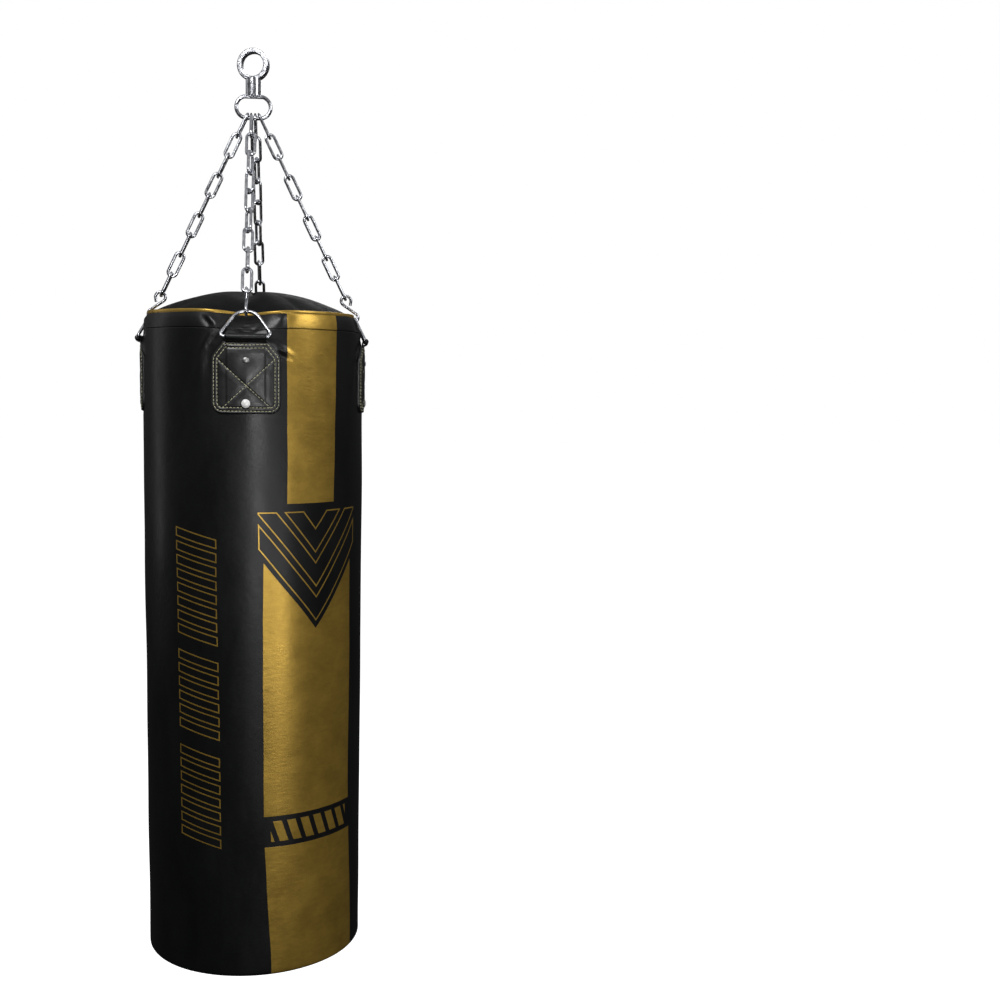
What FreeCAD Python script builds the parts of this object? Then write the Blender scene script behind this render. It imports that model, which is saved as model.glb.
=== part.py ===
import FreeCAD, Part
import Sketcher
import os
from math import acos, atan2, cos, hypot, pi, radians, sin, sqrt
from FreeCAD import Matrix, Placement, Rotation, Vector

# A filled heavy bag hung by four chains from a swivel. Millimetres, +Z up. The origin is the
# centre of the hanging eye, the front patch faces -Y and the bar that the chains hang on lies along X.

driving_sizes = {
    # hanging eye and the upper half of the swivel barrel
    "eye_bore_radius": 20.5,
    "eye_wall": 9.0,
    "eye_width": 14.0,
    "eye_edge_round": 2.0,
    "eye_turn": -15.0,
    "barrel_radius": 14.0,
    "barrel_dome": 4.0,
    "upper_barrel_foot": 37.0,
    "swivel_gap": 0.5,
    "lower_barrel_length": 18.0,
    # swivel pin and its thrust washer
    "pin_radius": 5.0,
    "pin_head_radius": 8.6,
    "pin_head_height": 5.0,
    "pin_clearance": 0.3,
    "washer_thickness": 2.0,
    "cavity_floor": 2.6,
    "cavity_headroom": 0.8,
    # ring that the chains hang from
    "ring_wire_radius": 3.5,
    "ring_end_radius": 19.6,
    "ring_bar_half": 11.5,
    "shoulder_top_half": 13.0,
    "shoulder_foot_half": 18.0,
    "shoulder_height": 8.0,
    "shoulder_thickness": 9.0,
    # chains
    "link_wire_radius": 2.75,
    "link_inside_length": 41.0,
    "link_inside_width": 10.0,
    "chain_slack": 0.3,
    "inner_chain_offset": 3.5,
    "bar_gap": 1.2,
    # S-hooks
    "hook_wire_radius": 2.75,
    "hook_inside_length": 45.4,
    "hook_eye_radius": 9.0,
    "hook_mouth_radius": 8.0,
    "hook_eye_end": 35.0,
    "hook_mouth_end": 140.0,
    "hook_eye_gap": 0.6,
    # D-rings
    "dring_wire_radius": 3.0,
    "dring_width": 89.0,
    "dring_height": 55.0,
    "dring_apex_radius": 27.0,
    "dring_corner_radius": 6.0,
    "dring_base_depth": 43.0,
    "dring_clearance": 0.5,
    # bag: heights are measured from the rim
    "bag_radius": 200.0,
    "bag_length": 1180.0,
    "rim_radius": 168.0,
    "taper_height": 48.0,
    "skin": 3.0,
    "base_round": 14.0,
    "base_height": 20.0,
    "filling_clearance": 2.5,
    "crown": 38.0,
    "cover_clearance": 0.3,
    "binding_height": 7.0,
    "binding_width": 7.0,
    "binding_round": 2.0,
    # hanging straps, patches and rivets
    "strap_end_clearance": 0.5,
    "strap_thickness": 2.0,
    "strap_length": 165.0,
    "strap_clearance": 0.3,
    "patch_width": 119.0,
    "patch_top": 50.0,
    "patch_height": 125.0,
    "patch_thickness": 4.6,
    "patch_shoulder_width": 80.0,
    "patch_shoulder_height": 26.0,
    "patch_corner_radius": 16.0,
    "patch_clearance": 0.2,
    "rivet_head_radius": 7.2,
    "rivet_head_height": 2.6,
    "rivet_shank_radius": 2.5,
    "rivet_clearance": 0.1,
    "rivet_tail_radius": 6.0,
    "rivet_tail_height": 1.5,
    "upper_rivet_depth": 83.0,
    "lower_rivet_depth": 157.0,
}

link_count = 9
# how far a cutting tool runs past the solid that it cuts
overcut = 1.0
# how closely an edge has to lie where a fillet looks for it
edge_tolerance = 0.01
# how far the barrel's dome sinks under the eye's bore, so that the two are one solid
dome_sink = 0.05
# Degrees that each link is turned about its chain's line, beyond the quarter turn from the one above
left_turns = [0, 6, -1, -8, -2, 5, -3, -7, 0]
right_turns = [0, -5, 3, -6, 3, 9, 1, -6, 0]
front_turns = [90 * k / (link_count - 1) for k in range(link_count)]

doc = FreeCAD.newDocument("heavy_bag")
sheet = doc.addObject("Spreadsheet::Sheet", "dims")
for row, (alias, value) in enumerate(driving_sizes.items(), start=1):
    sheet.set(f"A{row}", alias)
    sheet.set(f"B{row}", str(value))
    sheet.setAlias(f"B{row}", alias)
doc.recompute()


class Size(float):
    """A number that remembers the sheet expression it was worked out with."""

    def __new__(cls, value, text):
        number = super().__new__(cls, value)
        number.text = text
        return number

    def __add__(self, other):
        return combine(self, other, "+", float(self) + float(other))

    def __radd__(self, other):
        return combine(other, self, "+", float(other) + float(self))

    def __sub__(self, other):
        return combine(self, other, "-", float(self) - float(other))

    def __rsub__(self, other):
        return combine(other, self, "-", float(other) - float(self))

    def __mul__(self, other):
        return combine(self, other, "*", float(self) * float(other))

    __rmul__ = __mul__

    def __truediv__(self, other):
        return combine(self, other, "/", float(self) / float(other))

    def __neg__(self):
        return combine(0.0, self, "-", -float(self))


def text_of(number):
    return number.text if isinstance(number, Size) else f"{float(number):.9g}"


def combine(left, right, sign, value):
    return Size(value, f"({text_of(left)} {sign} {text_of(right)})")


class Dims:
    """The sheet's cells, read by alias."""

    def __getattr__(self, alias):
        return Size(float(sheet.get(alias)), f"dims.{alias}")


dims = Dims()


# Derived sizes that more than one piece needs

# centreline of the lower ring's bar, below the eye
lower_barrel_top = dims.upper_barrel_foot + dims.swivel_gap
shoulder_foot_z = -(lower_barrel_top + dims.lower_barrel_length + dims.shoulder_height / 2)
bar_z = shoulder_foot_z + dims.ring_wire_radius - 2 * dims.ring_end_radius
# bearing surface of a D-ring's base bar: it sits in a strap loop that touches the bag
strap_loop_radius = dims.dring_wire_radius + dims.dring_clearance + dims.strap_thickness
dring_base_radius = dims.bag_radius + dims.strap_clearance + strap_loop_radius
dring_reach = dims.dring_height - 3 * dims.dring_wire_radius
# a strap is as wide as the straight part of the D-ring's base bar allows
dring_bend = dims.dring_wire_radius + dims.dring_corner_radius
strap_width = dims.dring_width - 2 * (dring_bend + dims.strap_end_clearance)
skin_inside = dims.bag_radius - dims.skin
filling_radius = skin_inside - dims.filling_clearance
patch_radius = dims.bag_radius + dims.patch_thickness
binding_inside = dims.rim_radius - dims.binding_width / 2 - dims.skin / 2
cover_edge = binding_inside - dims.cover_clearance

sides = {
    "front": Vector(0, -1, 0),
    "right": Vector(1, 0, 0),
    "back": Vector(0, 1, 0),
    "left": Vector(-1, 0, 0),
}
side_turns = {"front": 0, "right": 90, "back": 180, "left": 270}
up = Vector(0, 0, 1)

# The front and back chains hang side by side in the middle of the bar, with the same slack at the bar,
# at each link and at the D-ring. Their length sets how far below the bar the rim is.
front_line = (
    link_count * dims.link_inside_length
    - dims.ring_wire_radius
    - (link_count + 2) * dims.chain_slack
    + dims.hook_inside_length
    + dring_reach
)
front_spread = hypot(dring_base_radius, dims.inner_chain_offset)
# The tops of the side chains' first links lean inwards over the bar, and clear the inner chains' links there.
top_rise = dims.ring_wire_radius + dims.chain_slack + dims.link_wire_radius
top_lean = top_rise * dring_base_radius / front_line
outer_chain_offset = dims.inner_chain_offset + 2 * dims.link_wire_radius + top_lean + dims.bar_gap
rim_z = float(bar_z) - sqrt(front_line**2 - front_spread**2) + dims.dring_base_depth

nodes = []


# Modelling helpers


def finished(obj, label, placement=None):
    """Names a sub-part, puts it in place and lists it for export."""
    obj.Label = label
    if placement is not None:
        obj.Placement = placement
    nodes.append(obj)
    return obj


def set_size(obj, name, number):
    if isinstance(number, Size):
        obj.setExpression(name, number.text)
    else:
        setattr(obj, name, number)


def new_body(name):
    return doc.addObject("PartDesign::Body", name)


def new_sketch(owner, name, role="XZ_Plane"):
    """A sketch on one of the body's own origin planes."""
    sketch = owner.newObject("Sketcher::SketchObject", name)
    plane = next(f for f in owner.Origin.OriginFeatures if f.Role == role)
    sketch.AttachmentSupport = [(plane, "")]
    sketch.MapMode = "FlatFace"
    return sketch


def constrain(sketch, kind, *where_and_size):
    """Adds a constraint, and ties its size to the sheet when it has one from there."""
    index = sketch.addConstraint(Sketcher.Constraint(kind, *where_and_size))
    if isinstance(where_and_size[-1], Size):
        sketch.setExpression(f"Constraints[{index}]", where_and_size[-1].text)


def draw_outline(sketch, points, arcs=None):
    """A closed outline through the points, with arcs {edge number: radius} where it bulges outwards."""
    arcs = arcs or {}
    count = len(points)
    for i, start in enumerate(points):
        end = points[(i + 1) % count]
        if i in arcs:
            middle = Vector((start[0] + end[0]) / 2, (start[1] + end[1]) / 2)
            chord = Vector(end[0] - start[0], end[1] - start[1])
            inward = Vector(-chord.y, chord.x).normalize() * sqrt(arcs[i] ** 2 - chord.Length**2 / 4)
            centre = middle + inward
            angles = [atan2(p[1] - centre.y, p[0] - centre.x) for p in (start, end)]
            circle = Part.Circle(centre, up, arcs[i])
            sketch.addGeometry(Part.ArcOfCircle(circle, *angles))
        else:
            sketch.addGeometry(Part.LineSegment(Vector(*start), Vector(*end)))
    for i in range(count):
        constrain(sketch, "Coincident", i, 2, (i + 1) % count, 1)
    for i, (x, y) in enumerate(points):
        constrain(sketch, "DistanceX", -1, 1, i, 1, x)
        constrain(sketch, "DistanceY", -1, 1, i, 1, y)
    for i, radius in arcs.items():
        constrain(sketch, "Radius", i, radius)


def draw_circle(sketch, radius, x=0.0, y=0.0):
    circle = sketch.addGeometry(Part.Circle(Vector(x, y), up, radius))
    constrain(sketch, "Radius", circle, radius)
    constrain(sketch, "DistanceX", -1, 1, circle, 3, x)
    constrain(sketch, "DistanceY", -1, 1, circle, 3, y)


def spin(body, name, points, arcs=None, role="XZ_Plane", axis="V_Axis"):
    """Revolves an outline drawn in a half plane about the body's own axis."""
    sketch = new_sketch(body, f"{name}_outline", role)
    draw_outline(sketch, points, arcs)
    feature = body.newObject("PartDesign::Revolution", name)
    feature.Profile = sketch
    feature.ReferenceAxis = (sketch, [axis])
    feature.Angle = 360
    doc.recompute()
    return feature


def round_edges(body, name, radius, choose):
    """Fillets the edges of the body's tip that choose picks."""
    tip = body.Tip
    picked = [f"Edge{i}" for i, edge in enumerate(tip.Shape.Edges, start=1) if choose(edge)]
    fillet = body.newObject("PartDesign::Fillet", name)
    fillet.Base = (tip, picked)
    set_size(fillet, "Radius", radius)
    doc.recompute()
    return fillet


def is_ring_edge(edge, radius, height):
    """True for a full circle about Z of this radius at this height."""
    bounds = edge.BoundBox
    centre = bounds.Center
    misses = (centre.x, centre.y, bounds.ZLength, bounds.XLength / 2 - radius, centre.z - height)
    return all(abs(miss) < edge_tolerance for miss in misses)


def bend_wire(body, name, runs, wire_radius):
    """Sweeps a round wire along runs in the XZ plane.

    A run is ("line", start, end) or ("arc", centre, radius, from, to). Angles are in radians, and an
    arc runs from the first to the second, either way round."""
    path = new_sketch(body, f"{name}_path")
    for kind, *run in runs:
        if kind == "line":
            path.addGeometry(Part.LineSegment(Vector(*run[0]), Vector(*run[1])))
        else:
            centre, radius, first, last = run
            circle = Part.Circle(Vector(*centre), up, radius)
            path.addGeometry(Part.ArcOfCircle(circle, min(first, last), max(first, last)))
    start, heading = start_of(runs[0])
    section = new_sketch(body, f"{name}_section", "XY_Plane")
    section.AttachmentOffset = Placement(start, Rotation(up, heading))
    draw_circle(section, wire_radius)
    doc.recompute()
    sweep = body.newObject("PartDesign::AdditivePipe", name)
    sweep.Profile = section
    sweep.Spine = (path, [f"Edge{i}" for i in range(1, len(runs) + 1)])
    doc.recompute()
    return sweep


def start_of(run):
    """Where a run starts and which way it heads, in space."""
    if run[0] == "line":
        start, end = run[1:]
        return Vector(start[0], 0, start[1]), Vector(end[0] - start[0], 0, end[1] - start[1])
    centre, radius, first, last = run[1:]
    turn = 1 if last > first else -1
    start = Vector(centre[0] + radius * cos(first), 0, centre[1] + radius * sin(first))
    return start, Vector(-turn * sin(first), 0, turn * cos(first))


def frame_at(position, x_axis, z_axis):
    """A placement with these X and Z axes, which are square to each other."""
    y_axis = z_axis.cross(x_axis)
    turned = Matrix(
        x_axis.x, y_axis.x, z_axis.x, 0,
        x_axis.y, y_axis.y, z_axis.y, 0,
        x_axis.z, y_axis.z, z_axis.z, 0,
        0, 0, 0, 1,
    )
    return Placement(position, Rotation(turned))


def cylinder(name, radius, height, placement=None):
    obj = doc.addObject("Part::Cylinder", name)
    set_size(obj, "Radius", radius)
    set_size(obj, "Height", height)
    if placement is not None:
        obj.Placement = placement
    return obj


def block(name, length, width, height, corner):
    obj = doc.addObject("Part::Box", name)
    set_size(obj, "Length", length)
    set_size(obj, "Width", width)
    set_size(obj, "Height", height)
    for axis, number in zip("xyz", corner):
        set_size(obj, f"Placement.Base.{axis}", number)
    return obj


def cut(name, base, tool):
    obj = doc.addObject("Part::Cut", name)
    obj.Base = base
    obj.Tool = tool
    return obj


def common(name, first, second):
    obj = doc.addObject("Part::MultiCommon", name)
    obj.Shapes = [first, second]
    return obj


def fuse(name, *shapes):
    obj = doc.addObject("Part::MultiFuse", name)
    obj.Shapes = list(shapes)
    return obj


# Swivel


def make_swivel_eye():
    """A flattened band eye on the upper half of the barrel, with a closed chamber for the pin's head."""
    body = new_body("eye_body")
    half = dims.eye_width / 2
    outside = dims.eye_bore_radius + dims.eye_wall
    band = [
        (dims.eye_bore_radius, -half),
        (outside, -half),
        (outside, half),
        (dims.eye_bore_radius, half),
    ]
    spin(body, "eye_band", band, role="XY_Plane")
    round_edges(body, "eye_band_edges", dims.eye_edge_round, lambda edge: True)
    top = -(dims.eye_bore_radius + dome_sink)
    foot = -dims.upper_barrel_foot
    shoulder = top - dims.barrel_dome
    dome_radius = (dims.barrel_radius * dims.barrel_radius + dims.barrel_dome * dims.barrel_dome) / (
        2 * dims.barrel_dome
    )
    barrel = [(0.0, foot), (dims.barrel_radius, foot), (dims.barrel_radius, shoulder), (0.0, top)]
    spin(body, "upper_barrel", barrel, arcs={2: dome_radius})
    floor = foot + dims.cavity_floor
    bore = dims.pin_radius + dims.pin_clearance
    chamber = dims.pin_head_radius + dims.pin_clearance
    ceiling = floor + dims.washer_thickness + dims.pin_head_height + dims.cavity_headroom
    entry = foot - overcut
    hollow = [
        (0.0, entry),
        (bore, entry),
        (bore, floor),
        (chamber, floor),
        (chamber, ceiling),
        (0.0, ceiling),
    ]
    sketch = new_sketch(body, "chamber_outline")
    draw_outline(sketch, hollow)
    groove = body.newObject("PartDesign::Groove", "chamber")
    groove.Profile = sketch
    groove.ReferenceAxis = (sketch, ["V_Axis"])
    groove.Angle = 360
    finished(body, "swivel_eye", Placement(Vector(), Rotation(up, float(dims.eye_turn))))


def make_swivel_pin():
    """The pin turns in the eye's barrel and is fixed in the lower one."""
    body = new_body("pin_body")
    floor = dims.cavity_floor - dims.upper_barrel_foot
    under_head = floor + dims.washer_thickness
    top = under_head + dims.pin_head_height
    foot = shoulder_foot_z + dims.shoulder_height
    outline = [
        (0.0, foot),
        (dims.pin_radius, foot),
        (dims.pin_radius, under_head),
        (dims.pin_head_radius, under_head),
        (dims.pin_head_radius, top),
        (0.0, top),
    ]
    spin(body, "pin", outline)
    finished(body, "swivel_pin")


def make_thrust_washer():
    body = new_body("washer_body")
    floor = dims.cavity_floor - dims.upper_barrel_foot
    inside = dims.pin_radius + dims.pin_clearance / 2
    outline = [
        (inside, floor),
        (dims.pin_head_radius, floor),
        (dims.pin_head_radius, floor + dims.washer_thickness),
        (inside, floor + dims.washer_thickness),
    ]
    spin(body, "washer", outline)
    finished(body, "thrust_washer")


def make_swivel_ring():
    """A flat-bottomed oval of round wire under a thick shoulder and the lower half of the barrel."""
    body = new_body("ring_body")
    top_z = float(bar_z + 2 * dims.ring_end_radius)
    middle_z = float(bar_z + dims.ring_end_radius)
    half = float(dims.ring_bar_half)
    end = float(dims.ring_end_radius)
    loop = [
        ("line", (-half, float(bar_z)), (half, float(bar_z))),
        ("arc", (half, middle_z), end, -pi / 2, pi / 2),
        ("line", (half, top_z), (-half, top_z)),
        ("arc", (-half, middle_z), end, pi / 2, 3 * pi / 2),
    ]
    bend_wire(body, "ring_wire", loop, dims.ring_wire_radius)
    shoulder = new_sketch(body, "shoulder_outline")
    plate_top = shoulder_foot_z + dims.shoulder_height
    outline = [
        (-dims.shoulder_foot_half, shoulder_foot_z),
        (dims.shoulder_foot_half, shoulder_foot_z),
        (dims.shoulder_top_half, plate_top),
        (-dims.shoulder_top_half, plate_top),
    ]
    draw_outline(shoulder, outline)
    plate = body.newObject("PartDesign::Pad", "shoulder")
    plate.Profile = shoulder
    plate.Midplane = True
    set_size(plate, "Length", dims.shoulder_thickness)
    doc.recompute()
    barrel_top = -lower_barrel_top
    foot = barrel_top - dims.lower_barrel_length
    barrel = [(0.0, foot), (dims.barrel_radius, foot), (dims.barrel_radius, barrel_top), (0.0, barrel_top)]
    spin(body, "lower_barrel", barrel)
    hole = new_sketch(body, "pin_hole_outline")
    hole_top = barrel_top + overcut
    socket = [(0.0, plate_top), (dims.pin_radius, plate_top), (dims.pin_radius, hole_top), (0.0, hole_top)]
    draw_outline(hole, socket)
    groove = body.newObject("PartDesign::Groove", "pin_hole")
    groove.Profile = hole
    groove.ReferenceAxis = (hole, ["V_Axis"])
    groove.Angle = 360
    finished(body, "swivel_ring")


# Chains, hooks and D-rings


def make_link(label, placement):
    """One welded long link: its length lies along Z and its flat side faces Y."""
    body = new_body(f"{label}_body")
    bend = dims.link_inside_width / 2 + dims.link_wire_radius
    straight = (dims.link_inside_length - dims.link_inside_width) / 2
    path = new_sketch(body, f"{label}_path")
    path.addGeometry(Part.LineSegment(Vector(bend, -straight), Vector(bend, straight)))
    path.addGeometry(Part.ArcOfCircle(Part.Circle(Vector(0, straight), up, bend), 0, pi))
    path.addGeometry(Part.LineSegment(Vector(-bend, straight), Vector(-bend, -straight)))
    path.addGeometry(Part.ArcOfCircle(Part.Circle(Vector(0, -straight), up, bend), pi, 2 * pi))
    for i in range(4):
        constrain(path, "Tangent", i, 2, (i + 1) % 4, 1)
    for arc, height in ((1, straight), (3, -straight)):
        constrain(path, "DistanceX", -1, 1, arc, 3, 0.0)
        constrain(path, "DistanceY", -1, 1, arc, 3, height)
    constrain(path, "Radius", 1, bend)
    section = new_sketch(body, f"{label}_section", "XY_Plane")
    draw_circle(section, dims.link_wire_radius, bend)
    doc.recompute()
    sweep = body.newObject("PartDesign::AdditivePipe", f"{label}_wire")
    sweep.Profile = section
    sweep.Spine = (path, ["Edge1", "Edge2", "Edge3", "Edge4"])
    finished(body, label, placement)


def make_s_hook(label, placement):
    """Its origin is the bearing point at the top of its closed eye, and it hangs down -Z."""
    eye, mouth = float(dims.hook_eye_radius), float(dims.hook_mouth_radius)
    wire = float(dims.hook_wire_radius)
    eye_z = wire - eye
    mouth_z = mouth - wire - float(dims.hook_inside_length)
    between = eye_z - mouth_z
    # the straight bar crosses over from the bag side of the eye to the outer side of the mouth
    lean_z = -(eye + mouth) / between
    lean_x = -sqrt(1 - lean_z**2)
    crossing = atan2(lean_z, lean_x) + 2 * pi
    crossing_top = (eye * lean_x, eye_z + eye * lean_z)
    crossing_foot = (-mouth * lean_x, mouth_z - mouth * lean_z)
    # the eye's end runs straight towards the crossing bar and stops just short of it
    end_angle = -radians(dims.hook_eye_end)
    end_x, end_z = eye * cos(end_angle), eye * sin(end_angle)
    closing = Vector(sin(end_angle), -cos(end_angle))
    short_of = eye - 2 * wire - float(dims.hook_eye_gap)
    run = (short_of - (lean_x * end_x + lean_z * end_z)) / (lean_x * closing.x + lean_z * closing.y)
    tip = (end_x + run * closing.x, eye_z + end_z + run * closing.y)
    runs = [
        ("line", tip, (end_x, eye_z + end_z)),
        ("arc", (0.0, eye_z), eye, end_angle, crossing),
        ("line", crossing_top, crossing_foot),
        ("arc", (0.0, mouth_z), mouth, crossing - pi, -radians(dims.hook_mouth_end)),
    ]
    body = new_body(f"{label}_body")
    bend_wire(body, f"{label}_wire", runs, dims.hook_wire_radius)
    finished(body, label, placement)


def make_d_ring(label, placement):
    """A closed triangle of wire with a round apex: its origin is the middle of its base bar, apex up +Z."""
    wire, apex = float(dims.dring_wire_radius), float(dims.dring_apex_radius)
    corner = float(dims.dring_corner_radius)
    apex_z = float(dims.dring_height) - 2 * wire - apex
    corner_x = float(dims.dring_width) / 2 - wire - corner
    # the legs touch both the apex arc and the corner arcs from outside
    rise = apex_z - corner
    reach = hypot(corner_x, rise)
    lean = acos((apex - corner) / reach) - atan2(rise, corner_x)
    out_x, out_z = cos(lean), sin(lean)
    legs = {}
    for side in (1, -1):
        low = (side * (corner_x + corner * out_x), corner + corner * out_z)
        high = (side * apex * out_x, apex_z + apex * out_z)
        legs[side] = (low, high)
    runs = [
        ("line", (-corner_x, 0.0), (corner_x, 0.0)),
        ("arc", (corner_x, corner), corner, -pi / 2, lean),
        ("line", legs[1][0], legs[1][1]),
        ("arc", (0.0, apex_z), apex, lean, pi - lean),
        ("line", legs[-1][1], legs[-1][0]),
        ("arc", (-corner_x, corner), corner, pi - lean, 3 * pi / 2),
    ]
    body = new_body(f"{label}_body")
    bend_wire(body, f"{label}_wire", runs, dims.dring_wire_radius)
    finished(body, label, placement)


def make_chain(side, turns):
    """Hangs the links, an S-hook and a D-ring along the straight line from the bar to the strap."""
    outward = sides[side]
    around = up.cross(outward)
    inner = side in ("front", "back")
    if inner:
        start = around * -float(dims.inner_chain_offset) + up * float(bar_z)
    else:
        start = outward * float(outer_chain_offset) + up * float(bar_z)
    end = outward * float(dring_base_radius) + up * (rim_z - float(dims.dring_base_depth))
    line = end - start
    down = Vector(line).normalize()
    across = (around - down * around.dot(down)).normalize()
    away = (outward - down * outward.dot(down)).normalize()
    # a side chain crosses the bar at a slant, and what is left of its length is shared out as slack
    slant = 1.0 if inner else -down.z
    bearing = float(dims.ring_wire_radius + dims.link_wire_radius)
    links = link_count * float(dims.link_inside_length)
    hanging = links + float(dims.hook_inside_length + dring_reach + dims.link_wire_radius)
    slack = (hanging - bearing / slant - line.Length) / (link_count + 1 + 1 / slant)
    pitch = float(dims.link_inside_length) - slack
    along = float(dims.link_wire_radius) - (bearing + slack) / slant
    first_angle = 90 if inner else 0
    for k in range(link_count):
        angle = radians(first_angle + 90 * k + turns[k])
        flat = across * cos(angle) + away * sin(angle)
        middle = start + down * (along + float(dims.link_inside_length) / 2)
        make_link(f"chain_{side}_link_{k + 1}", frame_at(middle, flat, -down))
        along += pitch
    make_s_hook(f"s_hook_{side}", frame_at(start + down * along, away, -down))
    make_d_ring(f"d_ring_{side}", frame_at(end, across, -down))
    print(f"chain {side}: slack {slack:.3f} at each joint")


# Bag: every piece is drawn with the rim at Z = 0 and then lowered


bag_place = Placement(Vector(0, 0, rim_z), Rotation())
seat_z = -dims.binding_height / 2


def make_bag_skin():
    """The tube of the bag: straight, then drawn in to the rim, with holes for the rivets."""
    body = new_body("skin_body")
    foot = dims.base_height - dims.bag_length
    outline = [
        (skin_inside, foot),
        (dims.bag_radius, foot),
        (dims.bag_radius, -dims.taper_height),
        (dims.rim_radius, seat_z),
        (dims.rim_radius - dims.skin, seat_z),
        (skin_inside, -dims.taper_height),
    ]
    spin(body, "skin_tube", outline)
    for role in ("XZ_Plane", "YZ_Plane"):
        holes = new_sketch(body, f"rivet_holes_{role[:2]}", role)
        for depth in (dims.upper_rivet_depth, dims.lower_rivet_depth):
            draw_circle(holes, dims.rivet_shank_radius + dims.rivet_clearance, 0.0, -depth)
        pocket = body.newObject("PartDesign::Pocket", f"rivet_pocket_{role[:2]}")
        pocket.Profile = holes
        pocket.Midplane = True
        pocket.Type = "Length"
        set_size(pocket, "Length", 3 * dims.bag_radius)
        doc.recompute()
    finished(body, "bag_skin", bag_place)


def make_base_panel():
    """A dished panel sewn to the bottom of the tube."""
    body = new_body("base_body")
    foot = -dims.bag_length
    lip = foot + dims.base_height
    outline = [
        (0.0, foot),
        (dims.bag_radius, foot),
        (dims.bag_radius, lip),
        (skin_inside, lip),
        (skin_inside, foot + dims.skin),
        (0.0, foot + dims.skin),
    ]
    spin(body, "base_dish", outline)
    round_edges(body, "base_outer_round", dims.base_round, lambda e: is_ring_edge(e, dims.bag_radius, foot))
    inner_round = dims.base_round - dims.skin
    floor = foot + dims.skin
    round_edges(body, "base_inner_round", inner_round, lambda e: is_ring_edge(e, skin_inside, floor))
    finished(body, "base_panel", bag_place)


def dome_arc(edge_radius, height):
    """Radius of the ball that rises by height over a disc of edge_radius."""
    return (edge_radius * edge_radius + height * height) / (2 * height)


def make_filling():
    """The packed textile filling, crowned at the top."""
    body = new_body("filling_body")
    foot = dims.skin + dims.filling_clearance - dims.bag_length
    gap = dims.filling_clearance
    edge = dims.rim_radius - 2 * dims.skin - gap
    crown_rise = dims.crown - dims.skin - gap
    outline = [
        (0.0, foot),
        (filling_radius, foot),
        (filling_radius, -dims.taper_height - gap),
        (edge, seat_z - gap),
        (0.0, crown_rise),
    ]
    spin(body, "filling_core", outline, arcs={3: dome_arc(edge, crown_rise - seat_z + gap)})
    inner_round = dims.base_round - dims.skin
    round_edges(body, "filling_round", inner_round, lambda e: is_ring_edge(e, filling_radius, foot))
    finished(body, "filling", bag_place)


def make_top_cover():
    """The crowned cover inside the rim."""
    body = new_body("cover_body")
    outer = dome_arc(cover_edge, dims.crown)
    outline = [
        (cover_edge, -dims.skin),
        (cover_edge, 0.0),
        (0.0, dims.crown),
        (0.0, dims.crown - dims.skin),
    ]
    sketch_outline = new_sketch(body, "cover_outline")
    # the underside is the same curve as the top, one skin lower
    heights = [float(p[1]) for p in outline]
    ball = float(outer)
    top_angle = atan2(heights[1] - (heights[2] - ball), float(cover_edge))
    edge_low, edge_high = Vector(cover_edge, heights[0]), Vector(cover_edge, heights[1])
    sketch_outline.addGeometry(Part.LineSegment(edge_low, edge_high))
    top_centre = Vector(0, heights[2] - ball)
    low_centre = Vector(0, heights[3] - ball)
    sketch_outline.addGeometry(Part.ArcOfCircle(Part.Circle(top_centre, up, ball), top_angle, pi / 2))
    sketch_outline.addGeometry(Part.LineSegment(Vector(0, heights[2]), Vector(0, heights[3])))
    sketch_outline.addGeometry(Part.ArcOfCircle(Part.Circle(low_centre, up, ball), top_angle, pi / 2))
    ends = [(0, 1, 3, 1), (0, 2, 1, 1), (1, 2, 2, 1), (2, 2, 3, 2)]
    for first, first_end, second, second_end in ends:
        constrain(sketch_outline, "Coincident", first, first_end, second, second_end)
    for (element, end), (x, y) in zip(((0, 1), (0, 2), (2, 1), (2, 2)), outline):
        constrain(sketch_outline, "DistanceX", -1, 1, element, end, x)
        constrain(sketch_outline, "DistanceY", -1, 1, element, end, y)
    constrain(sketch_outline, "Radius", 1, outer)
    constrain(sketch_outline, "Radius", 3, outer)
    dome = body.newObject("PartDesign::Revolution", "cover_dome")
    dome.Profile = sketch_outline
    dome.ReferenceAxis = (sketch_outline, ["V_Axis"])
    dome.Angle = 360
    finished(body, "top_cover", bag_place)


def make_rim_binding():
    """The folded tape round the rim, sitting on the skin's top edge."""
    body = new_body("binding_body")
    outside = binding_inside + dims.binding_width
    outline = [
        (binding_inside, seat_z),
        (outside, seat_z),
        (outside, -seat_z),
        (binding_inside, -seat_z),
    ]
    spin(body, "binding_tape", outline)
    round_edges(
        body,
        "binding_edges",
        dims.binding_round,
        lambda e: is_ring_edge(e, outside, -seat_z) or is_ring_edge(e, binding_inside, -seat_z),
    )
    finished(body, "rim_binding", bag_place)


# Straps, patches and rivets: each is made on the front (-Y) and turned about the bag's axis


def turned_place(side):
    return Placement(Vector(0, 0, rim_z), Rotation(up, side_turns[side]))


def ring_wall(name, inside, outside, low, high):
    """A tube about the bag's axis between two heights."""
    outer = cylinder(f"{name}_outer", outside, high - low)
    inner = cylinder(f"{name}_inner", inside, high - low)
    for obj in (outer, inner):
        set_size(obj, "Placement.Base.z", low)
    return cut(f"{name}_wall", outer, inner)


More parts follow.
